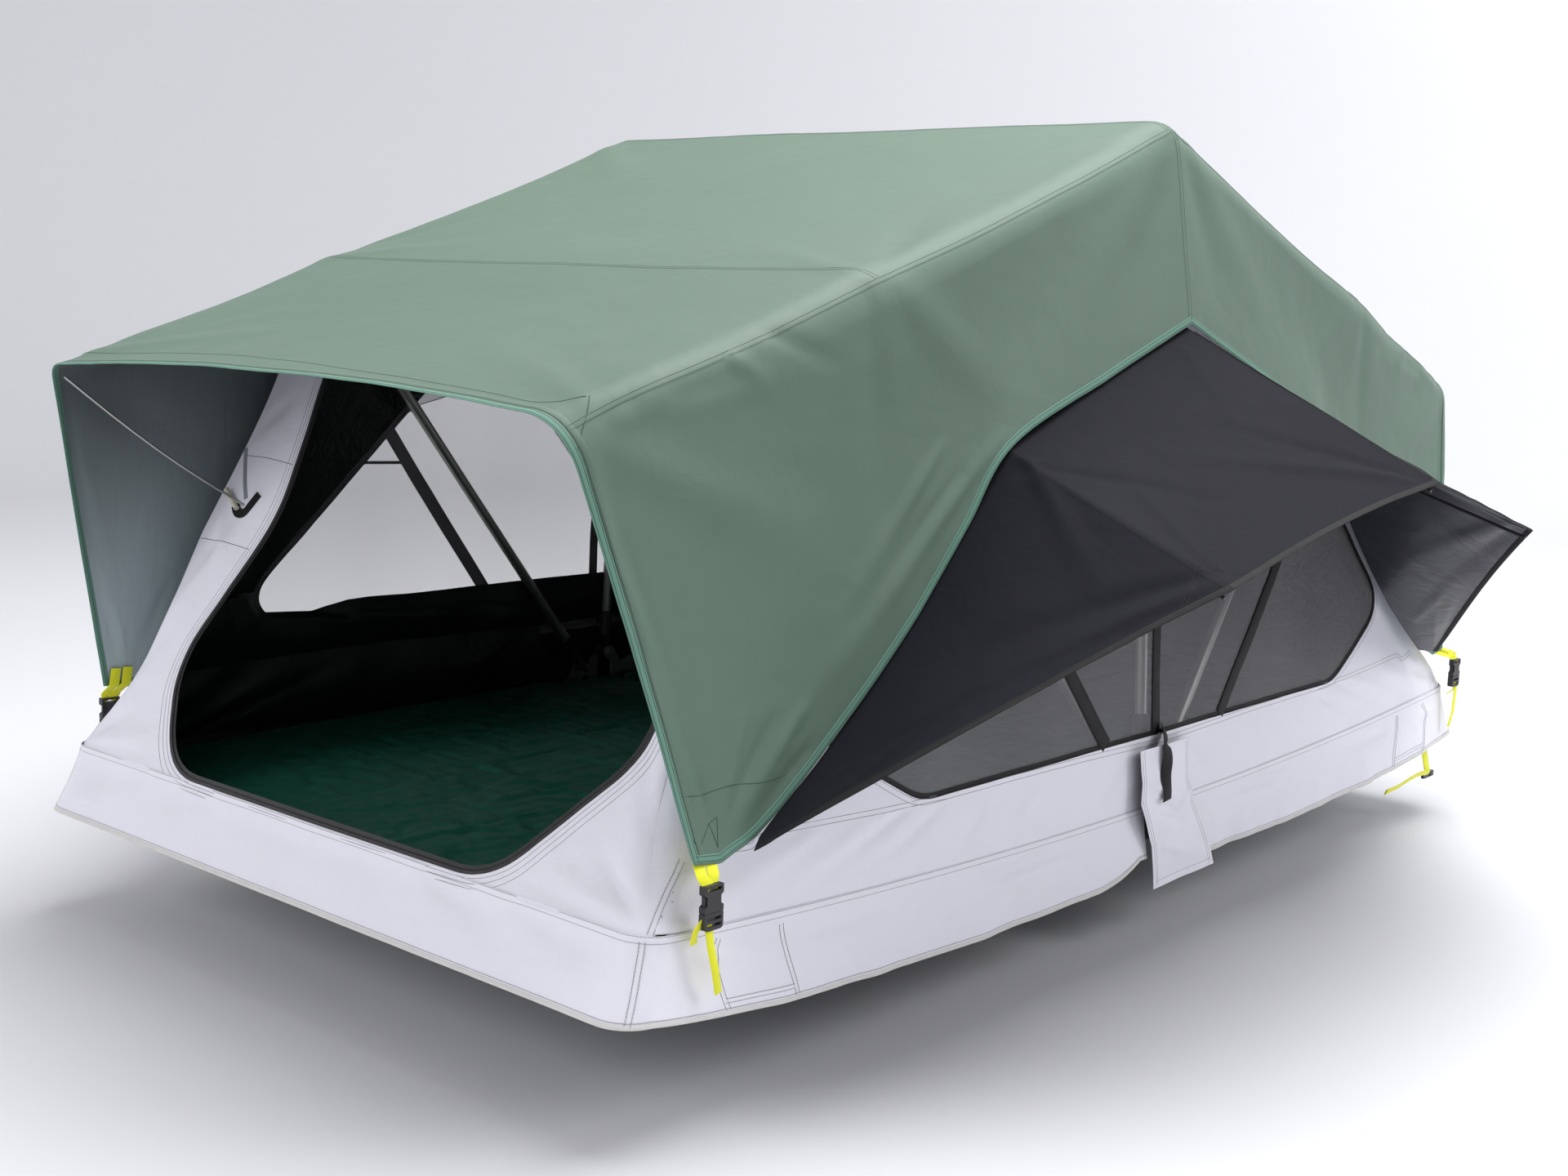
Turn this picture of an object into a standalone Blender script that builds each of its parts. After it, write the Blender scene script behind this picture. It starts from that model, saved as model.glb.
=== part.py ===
"""Roof top tent with a fold-over base, three hinged hoops, a fly with end awnings and side awnings.

Metres, +Z up. X runs across the tent, -Y is the door end and the fixed half, +Y the folding half.
The origin is in the middle of the tent, in the plane where the mounting rails sit on roof bars.
"""

import math

import bmesh
import bpy
import numpy as np
from mathutils import Matrix, Vector

# Driving dimensions of the base
HALF_WIDTH = 0.675
HALF_LENGTH = 1.175
JOINT_GAP = 0.004
RAIL_HEIGHT = 0.060
FRAME_HEIGHT = 0.040
FRAME_BOTTOM = RAIL_HEIGHT
FRAME_TOP = FRAME_BOTTOM + FRAME_HEIGHT
FRAME_FLANGE = 0.030
FRAME_WALL = 0.004
FRAME_LIP = 0.0025
MATTRESS_TOP = 0.145
SEAM_HEIGHT = 0.164
HEM_HEIGHT = 0.065
GAP = 0.0004

# The hinge line between the halves, and the hoops' own pivots on either side of it
HINGE_HEIGHT = 0.186
PIVOT_HEIGHT = 0.160
PIVOT_OFFSET = 0.060
LEG_FOOT = 0.655
LEG_TOP = 0.602
TUBE_RADIUS = 0.010
PIN_RADIUS = 0.0045
BORE_RADIUS = 0.0049
END_HOOP_REACH = 1.0475
END_HOOP_LEAN = math.radians(90 - 49.88)
CENTRE_HOOP_REACH = 1.039
HOOP_CORNER = 0.070

# Cloth: outer corners of the fly, the inner tent and the side awnings, for one quarter of the tent
CLOTH = 0.0016
FLY_PEAK = Vector((0.650, 0.000, 1.247))
FLY_HOOP = Vector((0.640, 0.740, 0.985))
FLY_AWNING = Vector((0.596, 1.260, 0.808))
FLY_HEM = ((0.700, 1.105, 0.250), (0.700, 1.005, 0.274), (0.700, 0.850, 0.385), (0.700, 0.698, 0.515),
           (0.700, 0.590, 0.630), (0.700, 0.484, 0.746), (0.700, 0.240, 0.838), (0.700, 0.000, 0.923))
COLUMN = ((0.6865, 1.1915, 0.1675), (0.622, 1.107, 0.312), (0.602, 0.994, 0.513),
          (0.585, 0.860, 0.760), (0.626, 0.748, 0.975))
CANOPY_TOP = Vector((0.632, 0.0, 1.2395))
TIP_END = Vector((1.085, 0.520, 0.590))
TIP_MIDDLE = Vector((1.132, 0.000, 0.705))
SIDE_AWNING_CORNER = Vector((0.722, 1.040, 0.262))
CANOPY_SAG = 0.014
ROOF_STEPS = 3
SIDE_STEPS = 6

# Openings in the inner tent: corners as y or x, z and the corner's radius
WINDOW = ((-0.60, 0.249, 0.05), (0.60, 0.249, 0.05), (0.88, 0.375, 0.06), (0.66, 0.575, 0.08),
          (0.42, 0.800, 0.06), (-0.42, 0.800, 0.06), (-0.66, 0.575, 0.08), (-0.88, 0.375, 0.06))
MESH_MARGIN = 0.006
DOOR = ((-0.400, 0.176, 0.16), (0.385, 0.178, 0.16), (0.575, 0.375, 0.12), (0.520, 0.560, 0.20),
        (0.470, 0.760, 0.15), (0.470, 0.900, 0.06), (-0.470, 0.900, 0.06), (-0.445, 0.740, 0.15),
        (-0.410, 0.560, 0.20), (-0.500, 0.320, 0.12))
DOOR_ROLL_HALF = 0.440
DOOR_ROLL_RADIUS = 0.022
DOOR_ROLL_Y = -0.750
DOOR_ROLL_HEIGHT = 0.880

# Mounting rails under the fixed half
RAIL_CENTRE = 0.620
RAIL_WIDTH = 0.040
RAIL_FRONT = -0.930
RAIL_REAR = -0.050
RAIL_SLOT = 0.006
RAIL_LIP = 0.005
RAIL_CHAMBER = 0.012
CHAMBER_TOP = 0.014
HOLLOW_HALF = 0.016
HOLLOW_LOW = 0.019
HOLLOW_HIGH = 0.055
CAP_THICKNESS = 0.005

# Hinge brackets, their bolts, studs and pins
PLATE = 0.004
FIXED_PLATE = 0.670
MOVING_PLATE = 0.640
EAR_RADIUS = 0.0125
KNUCKLE_RADIUS = 0.014
BRACKET_REACH = 0.135
LIGHTENING_HOLE = (0.040, 0.128, 0.009)
BOLT_X = 0.656
BOLT_ROWS = (0.115, 0.085)
BOLT_RADIUS = 0.0065
STUD_HEAD_RADIUS = 0.0075
PIN_HEAD_RADIUS = 0.008
PIN_ENDS = (0.6345, 0.6755)

# Hoop feet: a hub on the pivot and a sleeve that takes the tube
HUB_RADIUS = 0.0115
HUB_HALF = 0.0122
SLEEVE_RADIUS = 0.0125
SLEEVE_START = 0.036
SLEEVE_END = 0.088
TUBE_START = 0.048

# Mattress pads
MATTRESS_HALF = 0.652
MATTRESS_NEAR = 0.008
MATTRESS_FAR = 1.163
MATTRESS_CROWN = 0.007
NOTCH_INSIDE = 0.630
NOTCH_REACH = 0.150

# Rods: three a side under the side awnings, and one to each corner of the end awnings
SIDE_ROD_RADIUS = 0.003
AWNING_ROD_RADIUS = 0.0025
AWNING_ROD_HOOK = Vector((0.498, 0.976, 0.575))
AWNING_ROD_SAG = 0.010

# Buckles between the fly's straps and the skirt
BUCKLE_X = 0.7135
BUCKLE_TOP = 0.231
BUCKLE_SPLIT = 0.195
BUCKLE_BOTTOM = 0.173
BUCKLE_WIDTH = 0.033
BUCKLE_DEPTH = 0.011
BUCKLE_SLOT = 0.0125

# Skirt: half width, half length, height and corner radius, from the frame over the seam down to the hem
SKIRT_LEVELS = ((0.6762, 1.1762, 0.0940, 0.0015), (0.6785, 1.1830, 0.1550, 0.014),
                (0.6830, 1.1900, SEAM_HEIGHT - 0.0008, 0.022), (0.6875, 1.1955, 0.1580, 0.024),
                (0.6905, 1.2040, 0.1320, 0.034), (0.6960, 1.2240, 0.0860, 0.046),
                (0.6985, 1.2340, HEM_HEIGHT, 0.050))

# Cloth flap over the hinge: top and bottom, and its upper and lower corners along the tent
COVER_TOP = 0.232
COVER_BOTTOM = -0.013
COVER_X = 0.7065
COVER_UPPER = (-0.072, 0.103)
COVER_LOWER = (-0.010, 0.200)

# Closing strap, with its adjuster
STRAP_PATH = ((0.688, 1.095, 0.0585), (0.690, 1.100, 0.030), (0.692, 1.108, 0.000), (0.694, 1.112, -0.006))
STRAP_HALF = 0.0125
ADJUSTER_HALF = 0.026
ADJUSTER_LOW = -0.020
ADJUSTER_HIGH = -0.0075

COLOURS = {
    "sage_cloth": ((0.150, 0.245, 0.190), 0.75, 0.0),
    "white_cloth": ((0.760, 0.785, 0.830), 0.80, 0.0),
    "charcoal_cloth": ((0.030, 0.032, 0.040), 0.70, 0.0),
    "mesh": ((0.120, 0.120, 0.125), 0.85, 0.0),
    "mattress_cloth": ((0.020, 0.105, 0.075), 0.60, 0.0),
    "aluminium": ((0.560, 0.565, 0.570), 0.35, 1.0),
    "board": ((0.180, 0.185, 0.190), 0.50, 0.0),
    "steel": ((0.500, 0.500, 0.500), 0.35, 1.0),
    "black_plastic": ((0.020, 0.020, 0.022), 0.45, 0.0),
    "neon_webbing": ((0.800, 0.850, 0.020), 0.70, 0.0),
}

for old in list(bpy.data.objects):
    bpy.data.objects.remove(old, do_unlink=True)

tent = bpy.data.collections.new("roof_top_tent")
cutters = bpy.data.collections.new("cutters")
bpy.context.scene.collection.children.link(tent)
bpy.context.scene.collection.children.link(cutters)


def material(name):
    """One Principled material for each finish."""
    found = bpy.data.materials.get(name)
    if found:
        return found
    colour, roughness, metallic = COLOURS[name]
    made = bpy.data.materials.new(name)
    made.use_nodes = True
    shader = made.node_tree.nodes["Principled BSDF"]
    shader.inputs["Base Color"].default_value = (*colour, 1.0)
    shader.inputs["Roughness"].default_value = roughness
    shader.inputs["Metallic"].default_value = metallic
    return made


def add(name, mesh, finish):
    obj = bpy.data.objects.new(name, mesh)
    tent.objects.link(obj)
    obj.data.materials.append(material(finish))
    return obj


def cutter(name, mesh):
    obj = bpy.data.objects.new(name, mesh)
    cutters.objects.link(obj)
    obj.hide_render = True
    obj.display_type = "WIRE"
    return obj


def boolean(obj, other, operation="DIFFERENCE"):
    modifier = obj.modifiers.new(other.name, "BOOLEAN")
    modifier.operation = operation
    modifier.object = other
    modifier.solver = "EXACT"


def join(obj, *others):
    """Joins cutter-like helper shapes to obj as one body."""
    for other in others:
        boolean(obj, other, "UNION")


def cut(obj, *others):
    for other in others:
        boolean(obj, other, "DIFFERENCE")


def box_mesh(name, low, high):
    """A box between two corners, from the cube primitive."""
    mesh = bpy.data.meshes.new(name)
    shape = bmesh.new()
    bmesh.ops.create_cube(shape, size=1.0)
    low, high = Vector(low), Vector(high)
    bmesh.ops.scale(shape, vec=high - low, verts=shape.verts)
    bmesh.ops.translate(shape, vec=(low + high) / 2, verts=shape.verts)
    shape.to_mesh(mesh)
    shape.free()
    return mesh


def cylinder_mesh(name, start, end, radius, sides=20):
    """A cylinder from one point to another, from the cone primitive."""
    start, end = Vector(start), Vector(end)
    mesh = bpy.data.meshes.new(name)
    shape = bmesh.new()
    bmesh.ops.create_cone(shape, cap_ends=True, segments=sides, radius1=radius, radius2=radius,
                          depth=(end - start).length)
    turn = Vector((0, 0, 1)).rotation_difference(end - start).to_matrix().to_4x4()
    bmesh.ops.transform(shape, matrix=Matrix.Translation((start + end) / 2) @ turn, verts=shape.verts)
    shape.to_mesh(mesh)
    shape.free()
    mesh.shade_smooth()
    mesh.set_sharp_from_angle(angle=math.radians(40))
    return mesh


def rounded(points, radius, steps=4):
    """A closed outline with each corner rounded. A radius given per point comes as a third number."""
    out = []
    count = len(points)
    for i, point in enumerate(points):
        here = Vector(point[:2])
        before, after = Vector(points[i - 1][:2]), Vector(points[(i + 1) % count][:2])
        r = point[2] if len(point) > 2 else radius
        to_before, to_after = (before - here).normalized(), (after - here).normalized()
        half = to_before.angle(to_after) / 2
        reach = min(r / math.tan(half), 0.48 * (before - here).length, 0.48 * (after - here).length)
        if reach < 1e-5:
            out.append(tuple(here))
            continue
        first, last = here + to_before * reach, here + to_after * reach
        for step in range(steps + 1):
            t = step / steps
            out.append(tuple(first * (1 - t) ** 2 + here * 2 * t * (1 - t) + last * t * t))
    return out


def arc(centre, radius, start, end, steps):
    """Points on an arc, angles in degrees."""
    return [(centre[0] + radius * math.cos(math.radians(start + (end - start) * i / steps)),
             centre[1] + radius * math.sin(math.radians(start + (end - start) * i / steps)))
            for i in range(steps + 1)]


def curve_to_mesh(curve_object):
    """The evaluated curve as a mesh with welded caps. The curve itself is removed."""
    evaluated = curve_object.evaluated_get(bpy.context.evaluated_depsgraph_get())
    mesh = bpy.data.meshes.new_from_object(evaluated)
    mesh.name = curve_object.name
    place = curve_object.matrix_world.copy()
    shape = bmesh.new()
    shape.from_mesh(mesh)
    bmesh.ops.remove_doubles(shape, verts=shape.verts, dist=1e-5)
    bmesh.ops.transform(shape, matrix=place, verts=shape.verts)
    bmesh.ops.recalc_face_normals(shape, faces=shape.faces)
    shape.to_mesh(mesh)
    shape.free()
    bpy.data.objects.remove(curve_object, do_unlink=True)
    return mesh


PLANES = {"xy": (0, 0, 0), "yz": (math.pi / 2, 0, math.pi / 2), "xz": (math.pi / 2, 0, 0)}


def plate_mesh(name, outlines, thickness, plane, offset):
    """A flat plate: its outline and holes on a plane, its middle at offset along the plane's normal."""
    curve = bpy.data.curves.new(name, "CURVE")
    curve.dimensions = "2D"
    curve.fill_mode = "BOTH"
    curve.extrude = thickness / 2
    for outline in outlines:
        spline = curve.splines.new("POLY")
        spline.points.add(len(outline) - 1)
        for point, (u, v) in zip(spline.points, outline):
            point.co = (u, v, 0, 1)
        spline.use_cyclic_u = True
    obj = bpy.data.objects.new(name, curve)
    bpy.context.scene.collection.objects.link(obj)
    obj.rotation_euler = PLANES[plane]
    normal = {"xy": (0, 0, 1), "yz": (1, 0, 0), "xz": (0, -1, 0)}[plane]
    obj.location = Vector(normal) * (offset if plane != "xz" else -offset)
    bpy.context.view_layer.update()
    return curve_to_mesh(obj)


def tube(name, points, radius, finish, resolution=2):
    """A round bar or tube along a poly line."""
    curve = bpy.data.curves.new(name, "CURVE")
    curve.dimensions = "3D"
    curve.bevel_depth = radius
    curve.bevel_resolution = resolution
    curve.use_fill_caps = True
    spline = curve.splines.new("POLY")
    spline.points.add(len(points) - 1)
    for point, place in zip(spline.points, points):
        point.co = (*place, 1)
    obj = bpy.data.objects.new(name, curve)
    tent.objects.link(obj)
    curve.materials.append(material(finish))
    return obj


def grid_mesh(name, rows):
    """An open surface lofted through rows of points."""
    mesh = bpy.data.meshes.new(name)
    shape = bmesh.new()
    verts = [[shape.verts.new(p) for p in row] for row in rows]
    for above, below in zip(verts, verts[1:]):
        for a, b, c, d in zip(above, above[1:], below[1:], below):
            shape.faces.new((a, b, c, d))
    bmesh.ops.recalc_face_normals(shape, faces=shape.faces)
    shape.to_mesh(mesh)
    shape.free()
    mesh.shade_smooth()
    return mesh


def sheet(name, rows, finish, thickness=CLOTH, offset=0.0, mirror=False):
    """A sheet of cloth: a lofted surface, mirrored across the tent if asked, with Solidify for thickness."""
    obj = add(name, grid_mesh(name, rows), finish)
    if mirror:
        modifier = obj.modifiers.new("other side", "MIRROR")
        modifier.merge_threshold = 1e-4
    modifier = obj.modifiers.new("thickness", "SOLIDIFY")
    modifier.thickness = thickness
    modifier.offset = offset
    modifier.use_even_offset = False
    return obj


def path_point(points, t):
    """A point along a poly line, t from 0 to 1 by segment count."""
    place = min(max(t, 0.0), 1.0) * (len(points) - 1)
    i = min(int(place), len(points) - 2)
    return Vector(points[i]).lerp(Vector(points[i + 1]), place - i)


def smooth_point(points, t):
    """A point on the smooth curve through the points."""
    place = min(max(t, 0.0), 1.0) * (len(points) - 1)
    i = min(int(place), len(points) - 2)
    f = place - i
    p = [Vector(points[min(max(k, 0), len(points) - 1)]) for k in range(i - 1, i + 3)]
    return 0.5 * ((2 * p[1]) + (p[2] - p[0]) * f + (2 * p[0] - 5 * p[1] + 4 * p[2] - p[3]) * f * f
                  + (3 * p[1] - p[0] - 3 * p[2] + p[3]) * f ** 3)


def across(side, point):
    """A point of the right-hand side, or its mirror on the left."""
    return Vector((point[0] * side, point[1], point[2]))


def along(end, point):
    """A point of the quarter at +Y, or its mirror at the door end."""
    return Vector((point[0], point[1] * end, point[2]))


SIDES = (("left", -1), ("right", 1))


def base_half(prefix, end):
    """A base board in its extruded frame."""
    inner, outer = JOINT_GAP, HALF_LENGTH

    def block(name, half, near, far, low, high):
        ys = sorted((end * near, end * far))
        return box_mesh(name, (-half, ys[0], low), (half, ys[1], high))

    bar = block("frame", HALF_WIDTH, inner, outer, FRAME_BOTTOM, FRAME_TOP)
    hole = block("hole", HALF_WIDTH - FRAME_FLANGE, inner + FRAME_FLANGE, outer - FRAME_FLANGE,
                 FRAME_BOTTOM - 0.01, FRAME_TOP + 0.01)
    groove = block("groove", HALF_WIDTH - FRAME_WALL, inner + FRAME_WALL, outer - FRAME_WALL,
                   FRAME_BOTTOM + FRAME_LIP, FRAME_TOP - FRAME_LIP)
    frame = add(f"{prefix}_frame", bar, "aluminium")
    cut(frame, cutter(f"{prefix}_frame_hole", hole), cutter(f"{prefix}_frame_groove", groove))
    edge = FRAME_WALL + 0.002
    add(f"{prefix}_base_panel", block("panel", HALF_WIDTH - edge, inner + edge, outer - edge,
                                      FRAME_BOTTOM + FRAME_LIP + GAP, FRAME_TOP - FRAME_LIP - GAP), "board")


def mounting_rail(name, side):
    """An extruded rail with a bolt slot along its underside, capped at both ends."""
    centre, half = side * RAIL_CENTRE, RAIL_WIDTH / 2
    top = FRAME_BOTTOM - GAP
    profile = [(-half, 0, 0.002), (-RAIL_SLOT, 0), (-RAIL_SLOT, RAIL_LIP), (-RAIL_CHAMBER, RAIL_LIP),
               (-RAIL_CHAMBER, CHAMBER_TOP), (RAIL_CHAMBER, CHAMBER_TOP), (RAIL_CHAMBER, RAIL_LIP),
               (RAIL_SLOT, RAIL_LIP), (RAIL_SLOT, 0), (half, 0, 0.002), (half, top, 0.002),
               (-half, top, 0.002)]
    profile = rounded(profile, 0.0, 2)
    hollow = rounded([(-HOLLOW_HALF, HOLLOW_LOW), (HOLLOW_HALF, HOLLOW_LOW), (HOLLOW_HALF, HOLLOW_HIGH),
                      (-HOLLOW_HALF, HOLLOW_HIGH)], 0.003, 2)
    shift = lambda outline: [(u + centre, v) for u, v in outline]
    length = RAIL_REAR - RAIL_FRONT
    mesh = plate_mesh(name, [shift(profile), shift(hollow)], length, "xz", (RAIL_FRONT + RAIL_REAR) / 2)
    add(name, mesh, "aluminium")


def rail_cap(name, side, y, outward):
    """A moulded cap that closes a rail's end, with a slot left open for the bolts."""
    centre, half, top = side * RAIL_CENTRE, RAIL_WIDTH / 2, FRAME_BOTTOM - GAP
    outline = [(-half, 0), (-RAIL_SLOT, 0), (-RAIL_SLOT, 0.012), (RAIL_SLOT, 0.012), (RAIL_SLOT, 0),
               (half, 0), (half, top), (-half, top)]
    outline = rounded([(u + centre, v) for u, v in outline], 0.003, 2)
    middle = y + outward * (GAP + CAP_THICKNESS / 2)
    add(name, plate_mesh(name, [outline], CAP_THICKNESS, "xz", middle), "black_plastic")


def hinge_bracket(name, side, end, plate_x, flange_low, flange_high, stud_tip):
    """A steel bracket: a foot bolted on the frame, a plate up to the knuckle, an ear with the hoop's stud."""
    foot = FRAME_TOP + GAP
    outline = [(BRACKET_REACH, foot), (BRACKET_REACH, foot + 0.016), (0.095, foot + 0.026)]
    outline += arc((PIVOT_OFFSET, PIVOT_HEIGHT), EAR_RADIUS, 25, 125, 6)
    outline += [(0.032, 0.162)]
    outline += arc((0.0, HINGE_HEIGHT), KNUCKLE_RADIUS, 40, 255, 10)
    outline += [(0.005, 0.168), (0.0055, foot)]
    knuckle_bore = arc((0.0, HINGE_HEIGHT), BORE_RADIUS, 0, 345, 15)
    lightening = arc(LIGHTENING_HOLE[:2], LIGHTENING_HOLE[2], 0, 345, 15)
    outlines = [[(end * y, z) for y, z in points] for points in (outline, knuckle_bore, lightening)]
    plate = add(name, plate_mesh(name, outlines, PLATE, "yz", side * plate_x), "steel")
    ys = sorted((end * 0.007, end * BRACKET_REACH))
    xs = sorted((side * flange_low, side * flange_high))
    flange = cutter(f"{name}_foot", box_mesh("foot", (xs[0], ys[0], foot), (xs[1], ys[1], foot + PLATE)))
    bolts = []
    for i, y in enumerate(BOLT_ROWS):
        low, high = ((side * BOLT_X, end * y, foot + height) for height in (0.003, 0.009))
        bolts.append(cutter(f"{name}_bolt_{i}", cylinder_mesh("bolt", low, high, BOLT_RADIUS, 6)))
    pivot = Vector((0, end * PIVOT_OFFSET, PIVOT_HEIGHT))
    plate_side = Vector((side * plate_x, 0, 0))
    stud = cutter(f"{name}_stud", cylinder_mesh("stud", pivot + plate_side,
                                                pivot + Vector((side * stud_tip, 0, 0)), PIN_RADIUS, 16))
    inward = 1 if stud_tip > plate_x else -1
    head_ends = [pivot + Vector((side * (stud_tip + inward * reach), 0, 0)) for reach in (-0.0005, 0.003)]
    head = cutter(f"{name}_stud_head", cylinder_mesh("head", *head_ends, STUD_HEAD_RADIUS, 12))
    join(plate, flange, *bolts, stud, head)


def hinge_pin(name, side):
    """The pin through both brackets and the middle hoop's foot, with a head at each end."""
    centre = Vector((0, 0, HINGE_HEIGHT))
    at = lambda x: centre + Vector((side * x, 0, 0))
    inner, outer = PIN_ENDS
    pin = add(name, cylinder_mesh(name, at(inner), at(outer), PIN_RADIUS, 16), "steel")
    heads = [cutter(f"{name}_head_{i}", cylinder_mesh("head", at(a), at(b), PIN_HEAD_RADIUS, 12))
             for i, (a, b) in enumerate(((inner - 0.001, inner + 0.003), (outer - 0.003, outer + 0.001)))]
    join(pin, *heads)


def leg_point(reach, radius):
    """Middle of a hoop's leg at a distance from its pivot, in the hoop's own plane (x, height)."""
    return LEG_FOOT + (LEG_TOP - LEG_FOOT) * radius / reach


def hoop(name, pivot, lean, reach):
    """A bent tube hoop with a moulded foot on each leg, built upright and turned about its pivot."""
    handle = bpy.data.objects.new(f"{name}_pivot", None)
    tent.objects.link(handle)
    handle.location = pivot
    handle.rotation_euler = (lean, 0, 0)
    right = [(leg_point(reach, TUBE_START), TUBE_START), (leg_point(reach, reach / 2), reach / 2)]
    bend = arc((LEG_TOP - HOOP_CORNER, reach - HOOP_CORNER), HOOP_CORNER, 0, 90, 6)
    right += bend
    right += [(0.27, reach), (0.0, reach)]
    points = [(x, 0, z) for x, z in right] + [(-x, 0, z) for x, z in right[-2::-1]]
    bar = tube(f"{name}_tube", points, TUBE_RADIUS, "aluminium", 3)
    bar.parent = handle
    for side_name, side in SIDES:
        foot_name = f"{name}_foot_{side_name}"
        on_leg = lambda r: Vector((side * leg_point(reach, r), 0, r))
        hub = Vector((side * LEG_FOOT, 0, 0))
        half = Vector((HUB_HALF, 0, 0))
        hub_mesh = cylinder_mesh(foot_name, hub - half, hub + half, HUB_RADIUS, 20)
        foot = add(foot_name, hub_mesh, "black_plastic")
        arm = cutter(f"{foot_name}_arm", box_mesh("arm", (side * LEG_FOOT - 0.008, -0.006, 0.006),
                                                  (side * LEG_FOOT + 0.008, 0.006, SLEEVE_START + 0.004)))
        sleeve = cylinder_mesh("sleeve", on_leg(SLEEVE_START), on_leg(SLEEVE_END), SLEEVE_RADIUS, 20)
        sleeve = cutter(f"{foot_name}_sleeve", sleeve)
        low, high = on_leg(TUBE_START - GAP), on_leg(SLEEVE_END + 0.02)
        socket = cutter(f"{foot_name}_socket", cylinder_mesh("socket", low, high, TUBE_RADIUS + GAP, 20))
        bore = cylinder_mesh("bore", hub - 2.5 * half, hub + 2.5 * half, BORE_RADIUS, 16)
        bore = cutter(f"{foot_name}_bore", bore)
        join(foot, arm, sleeve)
        cut(foot, socket, bore)
        for piece in (foot, arm, sleeve, socket, bore):
            piece.parent = handle


def mattress(name, end):
    """A foam pad with rounded edges and a light crown, notched round the hinge brackets."""
    half, near, far = MATTRESS_HALF, MATTRESS_NEAR, MATTRESS_FAR
    low, high = FRAME_TOP + 0.0005, MATTRESS_TOP
    columns = 10
    mesh = bpy.data.meshes.new(name)
    shape = bmesh.new()
    bmesh.ops.create_cube(shape, size=1.0)
    bmesh.ops.scale(shape, vec=(2 * half, far - near, high - low), verts=shape.verts)
    bmesh.ops.translate(shape, vec=(0, end * (near + far) / 2, (low + high) / 2), verts=shape.verts)
    edges = [e for e in shape.edges if abs(e.verts[0].co.z - e.verts[1].co.z) < 1e-6]
    bmesh.ops.subdivide_edges(shape, edges=edges, cuts=columns - 1, use_grid_fill=True)
    sides = [e for e in shape.edges if abs(e.verts[0].co.z - e.verts[1].co.z) > 1e-3]
    bmesh.ops.subdivide_edges(shape, edges=sides, cuts=3, use_grid_fill=True)
    centre = end * (near + far) / 2
    for vert in shape.verts:
        u, v = abs(vert.co.x) / half, abs(vert.co.y - centre) / ((far - near) / 2)
        w = (vert.co.z - low) / (high - low)
        edge = max(u, v)
        crown = MATTRESS_CROWN * (1 - (1 - u ** 6) * (1 - v ** 6))
        drawn = 0.006 * math.sin(math.pi * w) if edge > 0.999 else 0.0
        if w > 0.99:
            vert.co.z -= crown
        if edge > 0.999 and w > 0.99:
            vert.co.x *= 1 - 0.008 * (u > 0.999)
            vert.co.y = centre + (vert.co.y - centre) * (1 - 0.008 * (v > 0.999))
        if drawn and u > 0.999:
            vert.co.x -= math.copysign(0.003 - drawn, vert.co.x)
        if drawn and v > 0.999:
            vert.co.y -= math.copysign(0.003 - drawn, vert.co.y - centre)
    shape.to_mesh(mesh)
    shape.free()
    mesh.shade_smooth()
    pad = add(name, mesh, "mattress_cloth")
    for side_name, side in SIDES:
        xs = sorted((side * NOTCH_INSIDE, side * 0.70))
        ys = sorted((end * -0.01, end * NOTCH_REACH))
        notch = box_mesh("notch", (xs[0], ys[0], 0.05), (xs[1], ys[1], 0.2))
        cut(pad, cutter(f"{name}_notch_{side_name}", notch))


def skirt_ring(half, length, radius, end, steps=4):
    """Plan of the skirt: from the hinge line down one side, round the end and back up the other."""
    points = [(half, y) for y in np.linspace(JOINT_GAP, length - radius, 10)]
    points += arc((half - radius, length - radius), radius, 0, 90, steps)[1:]
    points += [(x, length) for x in np.linspace(half - radius, 0, 7)[1:]]
    points += [(-x, y) for x, y in points[-2::-1]]
    return [(x, end * y) for x, y in points]


def skirt(name, end):
    """Cloth skirt over the frame: an inner band up from it, a seam, and a flap that hangs to the hem."""
    rows = []
    for level, (half, length, height, radius) in enumerate(SKIRT_LEVELS):
        ring = skirt_ring(half + CLOTH / 2, length + CLOTH / 2, radius, end)
        fall = max(0.0, (level - 3) / 3)
        row = []
        for i, (x, y) in enumerate(ring):
            wave = 0.0035 * fall * math.sin(i * 1.7 + 0.6) + 0.002 * fall * math.sin(i * 0.7)
            outward = Vector((x, y - end * 0.3 * length, 0)).normalized()
            lift = 0.002 * fall * math.sin(i * 1.1)
            row.append((x + wave * outward.x, y + wave * outward.y, height + lift))
        rows.append(row)
    sheet(name, rows, "white_cloth", 0.0016)


def profile(top, corner, hem, radius, roof_steps, side_steps, crown=0.0):
    """Half a cross-section of a cover, from the roof's middle over a rounded edge to the hem."""
    top, corner, hem = Vector(top), Vector(corner), Vector(hem)
    to_top, to_hem = (top - corner).normalized(), (hem - corner).normalized()
    first, last = corner + to_top * radius, corner + to_hem * radius
    points = []
    for i in range(roof_steps):
        t = i / roof_steps
        p = top.lerp(first, t)
        points.append(p + Vector((0, 0, crown * (1 - t * t))))
    for t in (0.0, 1 / 3, 2 / 3, 1.0):
        points.append(first * (1 - t) ** 2 + corner * 2 * t * (1 - t) + last * t * t)
    for i in range(1, side_steps + 1):
        t = i / side_steps
        points.append(last.lerp(hem, t))
    return points


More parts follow.
